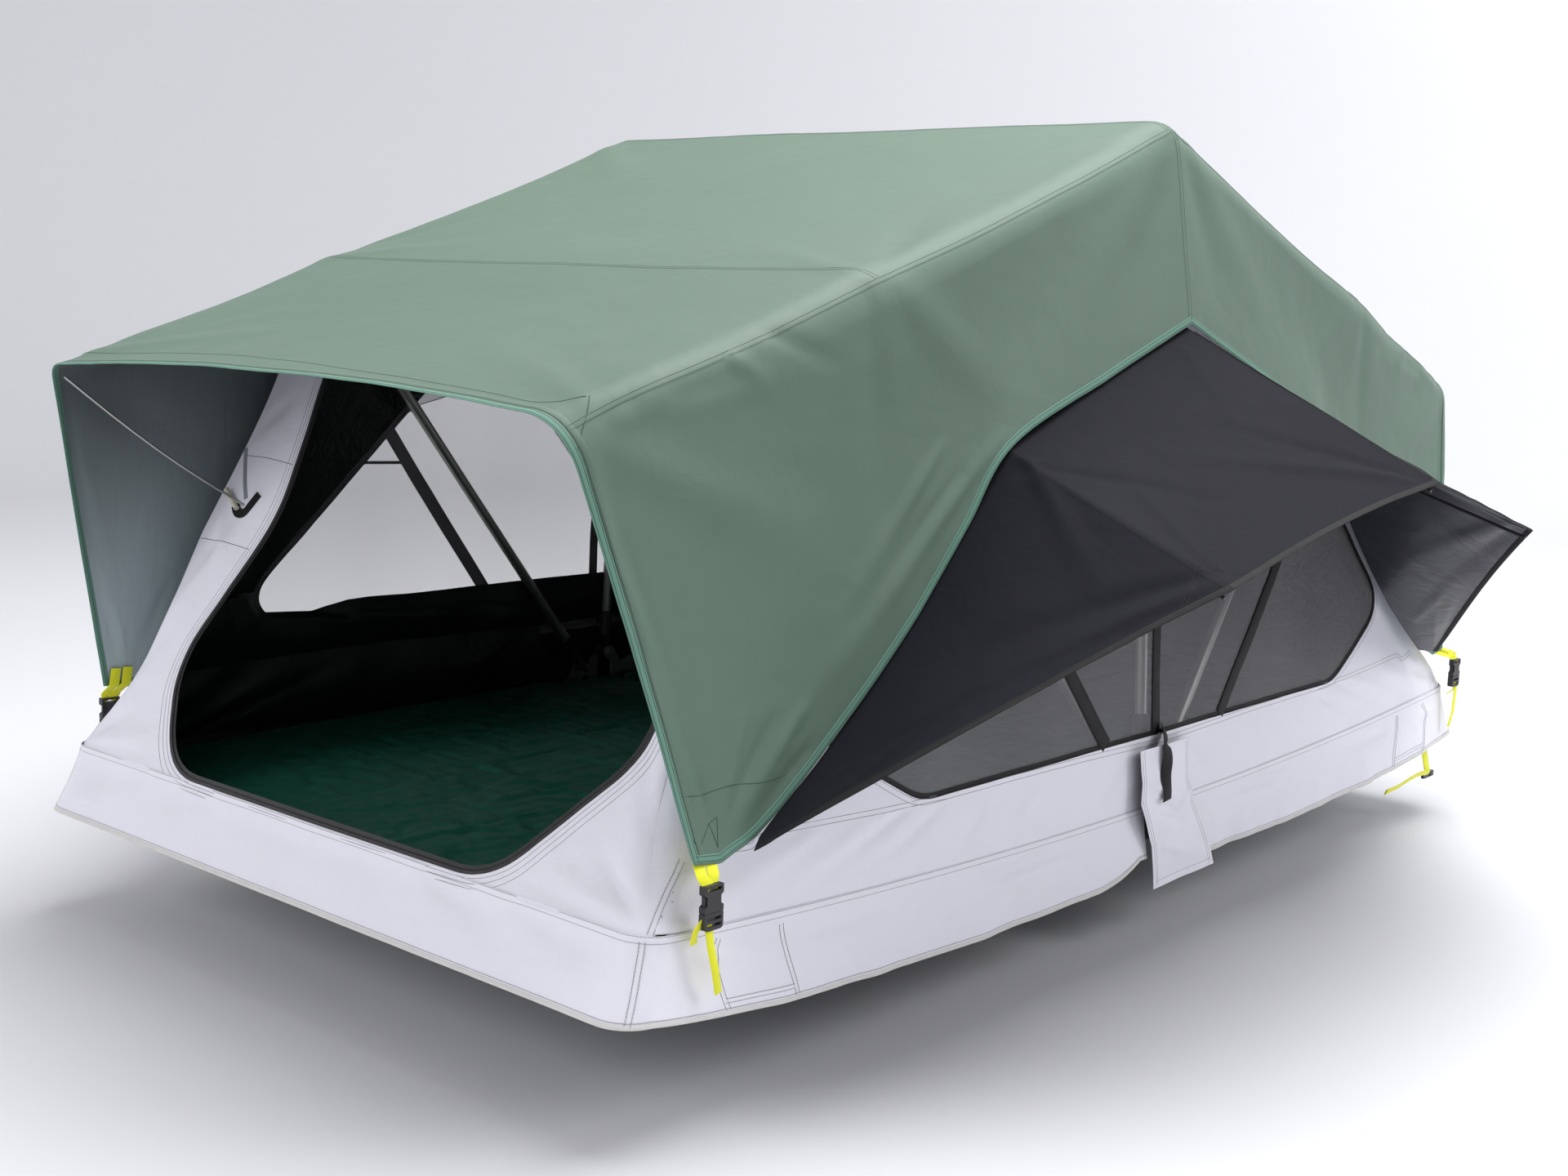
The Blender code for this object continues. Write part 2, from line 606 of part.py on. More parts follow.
def fly_rows():
    """Cross-sections of the fly from the door awning over the hoops to the rear awning."""
    stations = []
    edge_count, roof_count = 6, 8
    for i in range(edge_count + roof_count + 1):
        if i <= edge_count:
            t = i / edge_count
            corner = FLY_AWNING.lerp(FLY_HOOP, t)
            sag = 0.006 * math.sin(math.pi * t)
            bow = 0.020 * (1 - t) ** 2
        else:
            t = (i - edge_count) / roof_count
            corner = FLY_HOOP.lerp(FLY_PEAK, t)
            sag = 0.010 * math.sin(math.pi * t)
            bow = 0.0
        hem = path_point(FLY_HEM, i / (edge_count + roof_count))
        radius = 0.050 if i else 0.085
        top = Vector((0, corner.y, corner.z - sag + bow))
        corner = corner - Vector((0, 0, sag))
        pull = 0.012 * math.sin(math.pi * i / (edge_count + roof_count))
        rows = profile(top, corner, hem, radius, ROOF_STEPS, SIDE_STEPS)
        for k, point in enumerate(rows[ROOF_STEPS + 4:-1]):
            point.x -= pull * math.sin(math.pi * (k + 1) / SIDE_STEPS)
        stations.append(rows)
    front = [[along(-1, p) for p in row] for row in stations]
    rear = [[along(1, p) for p in row] for row in stations[-2::-1]]
    return front + rear


def column_point(v):
    return smooth_point(COLUMN, v)


def canopy_side(v, u):
    """A point of the inner tent's side: v up from the seam, u from the middle (0) to an end column (1)."""
    column = column_point(v)
    foot_x, _, foot_z = COLUMN[0]
    middle = Vector((foot_x, 0, foot_z)).lerp(CANOPY_TOP, v)
    middle.x = foot_x + (CANOPY_TOP.x - foot_x) * v ** 1.5
    near = abs(u) ** 6
    sag = CANOPY_SAG * v * math.sin(math.pi * abs(u))
    return Vector((middle.x + (column.x - middle.x) * near, column.y * u,
                   middle.z + (column.z - middle.z) * abs(u) - sag))


def canopy_rows():
    """The inner tent's roof and sides in one piece, half of it across."""
    rows = []
    for u in np.linspace(-1, 1, 17):
        edge = canopy_side(1.0, u)
        below = canopy_side(0.93, u)
        row = [Vector((edge.x * s, edge.y, edge.z)) for s in (0.0, 0.45, 0.85)]
        row += [edge - Vector(fall) for fall in ((0.035, 0, 0.0005), (0.012, 0, 0.008), (0.001, 0, 0.030))]
        row.append(below)
        row += [canopy_side(v, u) for v in np.linspace(0.84, 0.0, 8)]
        rows.append(row)
    return rows


def inner_tent():
    """Canopy, end walls with the doorway, and the window nets."""
    canopy = sheet("inner_canopy", canopy_rows(), "white_cloth", mirror=True)
    for side_name, side in SIDES:
        window = plate_mesh("window", [rounded(WINDOW, 0.05, 4)], 0.20, "yz", side * 0.68)
        cut(canopy, cutter(f"window_hole_{side_name}", window))
        rows = []
        for v in np.linspace(0.055, 0.645, 6):
            rows.append([across(side, canopy_side(v, u)) for u in np.linspace(-0.92, 0.92, 15)])
        net = sheet(f"window_mesh_{side_name}", rows, "mesh", 0.0010)
        pane = plate_mesh("pane", [rounded(inset(WINDOW, MESH_MARGIN), 0.05, 4)], 0.20, "yz", side * 0.68)
        boolean(net, cutter(f"window_pane_{side_name}", pane), "INTERSECT")
    for name, end in (("front_wall", -1), ("rear_wall", 1)):
        rows = []
        for v in np.linspace(0.0, 0.985, 9):
            c = column_point(v)
            half = c.x - 0.006
            rows.append([(half * s, end * c.y, c.z) for s in np.linspace(-1, 1, 7)])
        wall = sheet(name, rows, "white_cloth")
        if end < 0:
            doorway = plate_mesh("doorway", [rounded(DOOR, 0.1, 5)], 0.70, "xz", -1.0)
            cut(wall, cutter("doorway_hole", doorway))
    roll = []
    for x in np.linspace(-DOOR_ROLL_HALF, DOOR_ROLL_HALF, 12):
        roll.append((x, DOOR_ROLL_Y, DOOR_ROLL_HEIGHT - 0.012 * math.cos(x * 7)))
    tube("door_roll", roll, DOOR_ROLL_RADIUS, "white_cloth", 3)


def inset(outline, margin):
    """The outline drawn in towards its middle by a margin."""
    middle = sum(p[1] for p in outline) / len(outline)
    out = []
    for p in outline:
        reach = math.hypot(p[0], p[1] - middle)
        k = 1 - margin / reach
        out.append((p[0] * k, middle + (p[1] - middle) * k, p[2]))
    return out


def awning_edge(t):
    """Outer edge of a side awning, t from the door end (0) to the rear (1)."""
    points = [along(-1, SIDE_AWNING_CORNER), along(-1, TIP_END), TIP_MIDDLE, TIP_END, SIDE_AWNING_CORNER]
    return path_point(points, t)


def awning_root(t):
    """Top edge of a side awning along the fly's hem, with the hem's knee where the end rods are."""
    end = -1 if t < 0.5 else 1
    quarter = 4 * min(t, 1 - t)
    below_knee, above_knee = FLY_HEM[1:6], FLY_HEM[5:]
    if quarter < 1:
        return along(end, path_point(below_knee, quarter))
    return along(end, path_point(above_knee, quarter - 1))


def side_awnings():
    """Blackout awnings held out over the windows by three rods a side."""
    for side_name, side in SIDES:
        rows = []
        along_hem = np.linspace(0, 1, 17)
        rows.append([across(side, awning_root(t) + Vector((-0.0045, 0, 0.006))) for t in along_hem])
        for step in range(6):
            s = step / 5
            row = []
            for t in along_hem:
                p = (awning_root(t) + Vector((-0.002, 0, -0.007))).lerp(awning_edge(t), s)
                sag = 0.010 * math.sin(math.pi * s) * abs(math.sin(math.pi * 4 * t))
                row.append(across(side, p - Vector((0, 0, sag))))
            rows.append(row)
        sheet(f"side_awning_{side_name}", rows, "charcoal_cloth")
        for rod_name, start, tip in (("front", (0.664, -0.492, 0.722), along(-1, TIP_END)),
                                     ("middle", (0.668, 0.0, 0.899), TIP_MIDDLE),
                                     ("rear", (0.664, 0.492, 0.722), TIP_END)):
            below = Vector((-0.012, 0, -0.013))
            low = Vector(start) + Vector((0, 0, -0.010))
            end = Vector(tip) + below
            tube(f"side_rod_{rod_name}_{side_name}", [across(side, low.lerp(end, k / 4)) for k in range(5)],
                 SIDE_ROD_RADIUS, "black_plastic", 1)


def awning_rods():
    """Thin steel rods from the end walls' columns to the corners of the end awnings."""
    for end_name, end in (("front", -1), ("rear", 1)):
        for side_name, side in SIDES:
            tip = FLY_AWNING + Vector((-0.022, -0.012, -0.020))
            points = []
            for k in range(9):
                t = k / 8
                p = AWNING_ROD_HOOK.lerp(tip, t) - Vector((0, 0, AWNING_ROD_SAG * math.sin(math.pi * t)))
                points.append(across(side, along(end, p)))
            tube(f"{end_name}_awning_rod_{side_name}", points, AWNING_ROD_RADIUS, "steel", 1)


def buckle(where, side, end, y):
    """A side-release buckle: the socket sewn to the fly's strap, and the plug with its strap adjuster."""
    half = BUCKLE_WIDTH / 2
    cy, cx = end * y, side * BUCKLE_X
    waist = half - 0.0045
    body = [(-half, BUCKLE_SPLIT + GAP), (half, BUCKLE_SPLIT + GAP), (half, 0.2035, 0.001), (waist, 0.2065),
            (waist, 0.2165), (half, 0.2195), (half, BUCKLE_TOP), (-half, BUCKLE_TOP), (-half, 0.2195),
            (-waist, 0.2165), (-waist, 0.2065), (-half, 0.2035, 0.001)]
    slot_at = lambda low: [(-BUCKLE_SLOT, low), (BUCKLE_SLOT, low), (BUCKLE_SLOT, low + 0.004),
                           (-BUCKLE_SLOT, low + 0.004)]
    slot = rounded(slot_at(0.2235), 0.001, 2)
    shift = lambda outline: [(p[0] + cy, *p[1:]) for p in outline]
    name = f"buckle_socket_{where}"
    mesh = plate_mesh(name, [rounded(shift(body), 0.0015, 2), shift(slot)], BUCKLE_DEPTH, "yz", cx)
    socket = add(name, mesh, "black_plastic")
    mouth = box_mesh("mouth", (cx - 0.0032, cy - 0.0145, 0.19), (cx + 0.0032, cy + 0.0145, 0.220))
    cut(socket, cutter(f"{name}_mouth", mouth))
    name = f"buckle_plug_{where}"
    base = rounded(shift([(-half, BUCKLE_BOTTOM, 0.006), (half, BUCKLE_BOTTOM, 0.006), (half, BUCKLE_SPLIT),
                          (-half, BUCKLE_SPLIT)]), 0.001, 3)
    slots = [rounded(shift(slot_at(low)), 0.001, 2) for low in (0.178, 0.186)]
    plug = add(name, plate_mesh(name, [base, *slots], BUCKLE_DEPTH, "yz", cx), "black_plastic")
    prongs = []
    for i, (middle, top) in enumerate(((-0.0118, 0.217), (0.0, 0.212), (0.0118, 0.217))):
        prong = box_mesh("prong", (cx - 0.0026, cy + middle - 0.002, BUCKLE_SPLIT - 0.004),
                         (cx + 0.0026, cy + middle + 0.002, top))
        prongs.append(cutter(f"{name}_prong_{i}", prong))
    join(plug, *prongs)


def hinge_cover(name, side):
    """A cloth flap over the break in the skirt at the hinge, hanging below the hem."""
    rows = []
    for i in range(8):
        t = i / 7
        z = COVER_TOP + (COVER_BOTTOM - COVER_TOP) * t
        left, right = (up + (down - up) * t for up, down in zip(COVER_UPPER, COVER_LOWER))
        row = []
        for k in range(7):
            s = k / 6
            wave = 0.0035 * math.sin(3.1 * s + 2.2 * t) * t
            row.append((side * (COVER_X + 0.002 * t + wave), left + (right - left) * s, z))
        rows.append(row)
    sheet(name, rows, "white_cloth", 0.0016)


def closing_strap():
    """The strap that holds the packed tent shut, hanging below the rear skirt with its adjuster."""
    rows = [[Vector(p) + Vector((0, w, 0)) for w in (-STRAP_HALF, 0.0, STRAP_HALF)] for p in STRAP_PATH]
    sheet("closing_strap", rows, "neon_webbing", 0.0014)
    x, y, _ = STRAP_PATH[-1]
    near, far = y - ADJUSTER_HALF, y + ADJUSTER_HALF
    body = [(near, ADJUSTER_LOW), (far, ADJUSTER_LOW), (far, ADJUSTER_HIGH), (near, ADJUSTER_HIGH)]
    left, right = y - STRAP_HALF - 0.001, y + STRAP_HALF + 0.001
    slots = [[(left, z), (right, z), (right, z + 0.003), (left, z + 0.003)]
             for z in (ADJUSTER_LOW + 0.002, ADJUSTER_HIGH - 0.005)]
    mesh = plate_mesh("strap_adjuster", [rounded(body, 0.004, 3), *slots], 0.005, "yz", x)
    add("strap_adjuster", mesh, "black_plastic")


def build():
    base_half("front", -1)
    base_half("rear", 1)
    for side_name, side in SIDES:
        mounting_rail(f"mounting_rail_{side_name}", side)
        rail_cap(f"rail_cap_front_{side_name}", side, RAIL_FRONT, -1)
        rail_cap(f"rail_cap_rear_{side_name}", side, RAIL_REAR, 1)
        hinge_bracket(f"fixed_hinge_{side_name}", side, -1, FIXED_PLATE, 0.6455, 0.6700, 0.6415)
        hinge_bracket(f"moving_hinge_{side_name}", side, 1, MOVING_PLATE, 0.6400, 0.6680, 0.6685)
        hinge_pin(f"hinge_pin_{side_name}", side)
        hinge_cover(f"hinge_cover_{side_name}", side)
        buckle(f"front_{side_name}", side, -1, 1.106)
        buckle(f"rear_{side_name}", side, 1, 1.159)
    hoop("front_hoop", (0, -PIVOT_OFFSET, PIVOT_HEIGHT), END_HOOP_LEAN, END_HOOP_REACH)
    hoop("centre_hoop", (0, 0, HINGE_HEIGHT), 0.0, CENTRE_HOOP_REACH)
    hoop("rear_hoop", (0, PIVOT_OFFSET, PIVOT_HEIGHT), -END_HOOP_LEAN, END_HOOP_REACH)
    mattress("front_mattress", -1)
    mattress("rear_mattress", 1)
    skirt("front_skirt", -1)
    skirt("rear_skirt", 1)
    inner_tent()
    sheet("fly", fly_rows(), "sage_cloth", mirror=True)
    side_awnings()
    awning_rods()
    closing_strap()


build()
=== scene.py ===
"""Looks of a roof top tent: cloth, seams, nets, straps, mattresses and the finish of every other piece.

Metres, +Z up. X runs across the tent, -Y is the door end and the fixed half, +Y the folding half.
"""

import itertools
import math
from functools import cache, partial

import bpy
import numpy as np
from bpy.props import FloatProperty, FloatVectorProperty, PointerProperty
from bpy.types import Operator, Panel, PropertyGroup
from mathutils import Matrix, Vector


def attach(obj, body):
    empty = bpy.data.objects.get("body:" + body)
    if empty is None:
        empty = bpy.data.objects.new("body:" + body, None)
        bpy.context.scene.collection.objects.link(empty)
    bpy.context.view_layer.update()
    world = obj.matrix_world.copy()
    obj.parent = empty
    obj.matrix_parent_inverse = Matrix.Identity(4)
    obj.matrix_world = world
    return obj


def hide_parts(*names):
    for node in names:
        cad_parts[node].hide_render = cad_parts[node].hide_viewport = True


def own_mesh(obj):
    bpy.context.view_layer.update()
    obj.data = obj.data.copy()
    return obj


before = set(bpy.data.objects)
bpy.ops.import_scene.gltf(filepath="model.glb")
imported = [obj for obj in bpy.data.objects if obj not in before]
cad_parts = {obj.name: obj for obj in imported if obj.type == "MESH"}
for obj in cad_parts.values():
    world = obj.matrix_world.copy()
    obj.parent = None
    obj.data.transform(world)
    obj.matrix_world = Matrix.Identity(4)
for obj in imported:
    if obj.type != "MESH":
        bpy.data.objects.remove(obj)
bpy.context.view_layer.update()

bl_info = {
    "name": "Roof top tent looks",
    "version": (1, 0, 0),
    "blender": (4, 5, 0),
    "location": "View3D > Sidebar > Tent",
    "description": "Dresses the frame of a roof top tent in cloth, seams, straps and finishes",
    "category": "Object",
}

# Bodies of the frame, by end of the tent: -1 is the door end
BODY = {-1: "front_base", 1: "rear_base"}
END = {-1: "front", 1: "rear"}
SIDE = {-1: "left", 1: "right"}

# Corners of the cloth for one quarter of the tent, the same as the frame's
FLY_PEAK = (0.650, 0.000, 1.247)
FLY_HOOP = (0.640, 0.740, 0.985)
FLY_AWNING = (0.596, 1.260, 0.808)
FLY_HEM = ((0.700, 1.105, 0.250), (0.700, 1.005, 0.274), (0.700, 0.850, 0.385), (0.700, 0.698, 0.515),
           (0.700, 0.590, 0.630), (0.700, 0.484, 0.746), (0.700, 0.240, 0.838), (0.700, 0.000, 0.923))
HOOP_STATION = 6 / 14
COLUMN = ((0.6865, 1.1915, 0.1675), (0.622, 1.107, 0.312), (0.602, 0.994, 0.513),
          (0.585, 0.860, 0.760), (0.626, 0.748, 0.975))
CANOPY_TOP = (0.632, 0.0, 1.2395)
CANOPY_FOOT = (0.6865, 0.0, 0.1675)
WINDOW = ((-0.645, 0.247, 0.13), (0.645, 0.247, 0.13), (0.88, 0.375, 0.06), (0.66, 0.575, 0.08),
          (0.42, 0.800, 0.06), (-0.42, 0.800, 0.06), (-0.66, 0.575, 0.08), (-0.88, 0.375, 0.06))
DOOR = ((-0.400, 0.176, 0.16), (0.385, 0.178, 0.16), (0.575, 0.375, 0.12), (0.520, 0.560, 0.20),
        (0.470, 0.760, 0.15), (0.470, 0.900, 0.06), (-0.470, 0.900, 0.06), (-0.445, 0.740, 0.15),
        (-0.410, 0.560, 0.20), (-0.500, 0.320, 0.12))
TIP_END = (1.085, 0.520, 0.590)
TIP_MIDDLE = (1.132, 0.000, 0.705)
AWNING_FOOT = (0.722, 1.040, 0.262)
# Half width, half length, height and corner radius of the skirt: slot, seam, then down to the hem
SKIRT_LEVELS = (
    (0.6762, 1.1762, 0.094, 0.0015), (0.6785, 1.183, 0.155, 0.020), (0.6877, 1.1927, 0.1700, 0.047),
    (0.6886, 1.1970, 0.1520, 0.048), (0.6905, 1.204, 0.132, 0.048), (0.6960, 1.224, 0.086, 0.050),
    (0.6985, 1.234, 0.065, 0.052))


def measure(name, description, value):
    return FloatProperty(name=name, description=description, default=value, unit="LENGTH")


def colour(name, description, value):
    return FloatVectorProperty(name=name, description=description, default=value, subtype="COLOR", size=3,
                               min=0.0, max=1.0)


class TentSizes(PropertyGroup):
    """Widths and thicknesses of the trim."""
    cloth: measure("Cloth", "Thickness of the sewn cloth", 0.0009)
    binding: measure("Binding", "Width of the hem binding", 0.011)
    seam: measure("Seam", "Width of a felled seam", 0.010)
    thread: measure("Thread", "Radius of a sewing thread", 0.0005)
    stitch: measure("Stitch", "Length of one stitch", 0.005)
    webbing: measure("Webbing", "Width of the yellow webbing", 0.025)
    strap: measure("Strap", "Thickness of webbing", 0.0016)
    zip: measure("Zip", "Width of a zip with its tape", 0.015)
    band: measure("Band", "Width of the black window bands", 0.025)


class TentColours(PropertyGroup):
    """Colours of the cloth, plastic and metal."""
    sage: colour("Sage", "Outside of the fly", (0.102, 0.165, 0.123))
    sage_inside: colour("Sage inside", "Coated inside of the fly", (0.120, 0.145, 0.148))
    binding: colour("Binding", "Hem binding of the fly", (0.125, 0.270, 0.205))
    sage_thread: colour("Sage thread", "Stitching on the fly", (0.034, 0.056, 0.046))
    white: colour("White", "Inner tent and skirt", (0.800, 0.795, 0.870))
    white_thread: colour("White thread", "Stitching on the white cloth", (0.300, 0.300, 0.310))
    lining: colour("Lining", "Dark lining of the inner tent", (0.0075, 0.0082, 0.009))
    charcoal: colour("Charcoal", "Side awnings from above", (0.0125, 0.013, 0.018))
    charcoal_below: colour("Charcoal below", "Side awnings from below", (0.018, 0.020, 0.026))
    net: colour("Net", "Window netting", (0.360, 0.350, 0.375))
    mattress: colour("Mattress", "Mattress cover", (0.014, 0.110, 0.072))
    aluminium: colour("Aluminium", "Base frames", (0.420, 0.425, 0.420))
    steel: colour("Steel", "Hinges, pins and end rods", (0.450, 0.450, 0.440))
    board: colour("Board", "Laminate of the base boards", (0.150, 0.155, 0.160))
    plastic: colour("Plastic", "Buckles, feet and caps", (0.016, 0.016, 0.018))
    black_webbing: colour("Black webbing", "Bands and loops", (0.005, 0.005, 0.0055))
    yellow: colour("Yellow", "Straps", (0.860, 0.870, 0.010))
    floor: colour("Floor", "Studio floor and backdrop", (0.730, 0.735, 0.760))


class TentStudio(PropertyGroup):
    """Camera and lights."""
    lens: FloatProperty(name="Lens", description="Focal length on a 36 mm sensor", default=44.615)
    floor: measure("Floor", "Height of the floor under the held tent", -0.110)
    sky: FloatProperty(name="Sky", description="Strength of the light from all round", default=0.50)
    key: FloatProperty(name="Key", description="Power of the lamp overhead", default=300.0, unit="POWER")


def sizes():
    return bpy.context.scene.tent_sizes


def shade(base):
    """A colour given as it is, or one of the scene's by its name."""
    return tuple(getattr(bpy.context.scene.tent_colours, base)) if isinstance(base, str) else base


class Field:
    """A number that varies over a surface. Arithmetic on it adds Math nodes to its finish."""

    def __init__(self, finish, socket):
        self.finish, self.socket = finish, socket

    def __add__(self, other):
        return self.finish.maths("ADD", self, other)

    def __radd__(self, other):
        return self.finish.maths("ADD", other, self)

    def __sub__(self, other):
        return self.finish.maths("SUBTRACT", self, other)

    def __rsub__(self, other):
        return self.finish.maths("SUBTRACT", other, self)

    def __mul__(self, other):
        return self.finish.maths("MULTIPLY", self, other)

    def __rmul__(self, other):
        return self.finish.maths("MULTIPLY", other, self)

    def __gt__(self, other):
        return self.finish.maths("GREATER_THAN", self, other)

    def __abs__(self):
        return self.finish.maths("ABSOLUTE", self)

    def sine(self, period):
        """A wave from -1 to 1 along this field, a period in metres."""
        return self.finish.maths("SINE", self * (math.tau / period))

    def within(self, low, high):
        """0 below low, 1 above high, smooth between."""
        return self.finish.node("ShaderNodeMapRange", {"interpolation_type": "SMOOTHSTEP"},
                                {"Value": self, "From Min": low, "From Max": high})

    def repeat(self, period):
        """How far along its period the field is, from 0 to 1."""
        return self.finish.maths("FRACT", self * (1 / period))


class Finish:
    """One material: a Principled shader, what is the same all over it, and the nodes for what varies."""

    def __init__(self, name, **fixed):
        self.material = bpy.data.materials.new(name)
        self.material.use_nodes = True
        self.tree = self.material.node_tree
        self.shader = self.tree.nodes["Principled BSDF"]
        self.set(**fixed)

    def put(self, socket, value):
        if isinstance(value, Field):
            self.tree.links.new(value.socket, socket)
        elif hasattr(value, "__len__") and len(socket.default_value) == 4 and len(value) == 3:
            socket.default_value = (*value, 1.0)
        else:
            socket.default_value = value

    def node(self, kind, settings=None, inputs=None, output=0):
        """Any node: its settings first, then the values or links of its sockets."""
        new = self.tree.nodes.new(kind)
        for key, value in (settings or {}).items():
            setattr(new, key, value)
        for key, value in (inputs or {}).items():
            self.put(new.inputs[key], value)
        return Field(self, new.outputs[output])

    def maths(self, operation, *values):
        return self.node("ShaderNodeMath", {"operation": operation}, dict(enumerate(values)))

    def mix(self, factor, first, second):
        """Colours mixed by a factor."""
        return self.node("ShaderNodeMix", {"data_type": "RGBA", "clamp_factor": True},
                         {0: factor, 6: first, 7: second}, 2)

    def shaded(self, base, factor):
        """A colour made lighter or darker by a factor around 1."""
        grey = self.node("ShaderNodeCombineColor", None, {0: factor, 1: factor, 2: factor})
        return self.node("ShaderNodeMix", {"data_type": "RGBA", "blend_type": "MULTIPLY"},
                         {0: 1.0, 6: shade(base), 7: grey}, 2)

    def coordinates(self, source="UV"):
        """Two or three fields of a coordinate set: cloth coordinates in metres, or places on the object."""
        read = self.node("ShaderNodeTexCoord", output=source)
        return [self.node("ShaderNodeSeparateXYZ", None, {0: read}, k) for k in range(3)]

    def noise(self, size, detail=2.0, source="Object", stretch=(1.0, 1.0, 1.0), rough=0.5, bend=0.0):
        """Noise from 0 to 1 whose bumps are about size metres across."""
        read = self.node("ShaderNodeTexCoord", output=source)
        place = self.node("ShaderNodeVectorMath", {"operation": "MULTIPLY"},
                          {0: read, 1: tuple(k / size for k in stretch)})
        return self.node("ShaderNodeTexNoise", None, {"Vector": place, "Scale": 1.0, "Detail": detail,
                                                      "Roughness": rough, "Distortion": bend})

    def bump(self, height, distance):
        """Relief in metres, added on top of what was there."""
        relief = self.tree.nodes.new("ShaderNodeBump")
        relief.inputs["Strength"].default_value = 1.0
        relief.inputs["Distance"].default_value = distance
        self.put(relief.inputs["Height"], height)
        normal = self.shader.inputs["Normal"]
        if normal.is_linked:
            self.tree.links.new(normal.links[0].from_socket, relief.inputs["Normal"])
        self.tree.links.new(relief.outputs[0], normal)

    def set(self, **varying):
        """Sockets of the shader, by name. Gives the material."""
        for key, value in varying.items():
            self.put(self.shader.inputs[key.replace("_", " ")], value)
        return self.material


@cache
def made(finish):
    """The material that a finish makes, made once for all the pieces that share it."""
    return finish()


THREADS = 0.00012  # height of a weave's threads


def weave(f, pitch):
    """Height of a plain weave from 0 to 1 on cloth coordinates."""
    u, v, _ = f.coordinates()
    return 0.5 + 0.25 * u.sine(pitch) + 0.25 * v.sine(pitch)


def cloth_finish(name, base, roughness, crease=0.0016, crease_size=0.09, pitch=0.0016, mottle=0.10, sheen=0.0,
                 coat=0.0, gloss=0.4):
    """Woven cloth: a weave, fine creases with painted shade along them, faint mottling and a sheen that
    varies with the creases.
    """
    f = Finish(name, Specular_IOR_Level=gloss, Sheen_Weight=sheen, Sheen_Roughness=0.4, Coat_Roughness=0.35)
    broad = f.noise(0.45, 3.0)
    fine = f.noise(crease_size, 5.0, bend=0.6, rough=0.55)
    crinkle = abs(fine - 0.5) * 2.0
    cloud = f.noise(0.03, 4.0, rough=0.6)
    # painted shade: the last term darkens the colour along the crease lines, where the crinkle relief is
    # lowest
    mottle_and_painted_shading = 1.0 + mottle * (broad - 0.5) + 0.5 * mottle * (cloud - 0.5) - 0.4 * mottle * (1.0 - crinkle)
    f.bump(crinkle, crease)
    f.bump(weave(f, pitch), THREADS)
    if coat:
        f.set(Coat_Weight=coat * (0.6 + 0.8 * broad))
    return f.set(Base_Color=f.shaded(base, mottle_and_painted_shading), Roughness=roughness + 0.10 * (cloud - 0.5))


sage = partial(cloth_finish, "sage_outside", "sage", 0.52, crease=0.0011, crease_size=0.13, sheen=0.05)
white = partial(cloth_finish, "white_outside", "white", 0.72, crease=0.0018, crease_size=0.12, mottle=0.05,
                pitch=0.0020, sheen=0.05)
lining = partial(cloth_finish, "dark_lining", "lining", 0.36, crease=0.0060, crease_size=0.10, mottle=0.3,
                 gloss=0.32)
charcoal = partial(cloth_finish, "charcoal_above", "charcoal", 0.72, crease=0.0013, mottle=0.15, gloss=0.10)
charcoal_below = partial(cloth_finish, "charcoal_below", "charcoal_below", 0.30, crease=0.0035,
                         crease_size=0.13, mottle=0.2, coat=0.35)
cover_cloth = partial(cloth_finish, "window_cover_cloth", (0.0050, 0.0075, 0.0068), 0.40, crease=0.0034,
                      crease_size=0.10, mottle=0.3, gloss=0.42)
mattress_cover = partial(cloth_finish, "mattress_cover", "mattress", 0.42, crease=0.0024, crease_size=0.10,
                         mottle=0.2, pitch=0.0018, gloss=0.25)


def sage_inside():
    """The fly's coated inside: creased and a little shiny, with painted light that makes it paler low down.
    """
    f = Finish("sage_inside", Specular_IOR_Level=0.4, Coat_Roughness=0.30)
    height = f.coordinates("Object")[2]
    # painted light: a factor that rises towards the bottom of the fly, below 0.82 m up
    painted_daylight = 1.0 - height.within(0.30, 0.82)
    streak = f.noise(0.05, 3.0, stretch=(1.0, 1.0, 0.16), bend=0.4)
    cloud = f.noise(0.16, 4.0, bend=0.6)
    crinkle = abs(cloud - 0.5) * 2.0
    f.bump(crinkle, 0.0026)
    f.bump(abs(streak - 0.5) * 2.0, 0.0012)
    f.bump(weave(f, 0.0016), THREADS)
    # painted light: the colour grows much paler low down, and the streaks show only in that paler part
    mottle_and_painted_shading = 0.85 + 2.30 * painted_daylight + 0.16 * (streak - 0.5) * painted_daylight + 0.10 * (cloud - 0.5)
    return f.set(Base_Color=f.shaded("sage_inside", mottle_and_painted_shading), Roughness=0.40 + 0.12 * (streak - 0.5),
                 Coat_Weight=0.18 + 0.14 * cloud)


def tape_finish(name, base, roughness, rib=0.0022, relief=0.0002, sheen=0.1):
    """Woven tape or webbing: ribs along it, cross threads and dust. U runs along the tape."""
    f = Finish(name, Specular_IOR_Level=0.35, Sheen_Weight=sheen)
    u, v, _ = f.coordinates()
    ribs = 0.5 + 0.5 * v.sine(rib) * u.sine(rib * 1.4)
    dust = f.noise(0.02, 4.0)
    f.bump(ribs, relief)
    return f.set(Base_Color=f.shaded(base, 0.86 + 0.16 * ribs + 0.12 * (dust - 0.5)),
                 Roughness=roughness + 0.15 * (dust - 0.5))


binding = partial(tape_finish, "fly_binding", "binding", 0.62, rib=0.0016)
white_binding = partial(tape_finish, "skirt_binding", (0.70, 0.69, 0.67), 0.80, rib=0.0016)
charcoal_binding = partial(tape_finish, "awning_binding", (0.004, 0.004, 0.005), 0.70, rib=0.0016, sheen=0.0)
black_webbing = partial(tape_finish, "black_webbing", "black_webbing", 0.66, relief=0.0003, sheen=0.0)
yellow = partial(tape_finish, "yellow_webbing", "yellow", 0.60, relief=0.0003, sheen=0.2)
grey_tape = partial(tape_finish, "grey_tape", (0.25, 0.27, 0.30), 0.5)


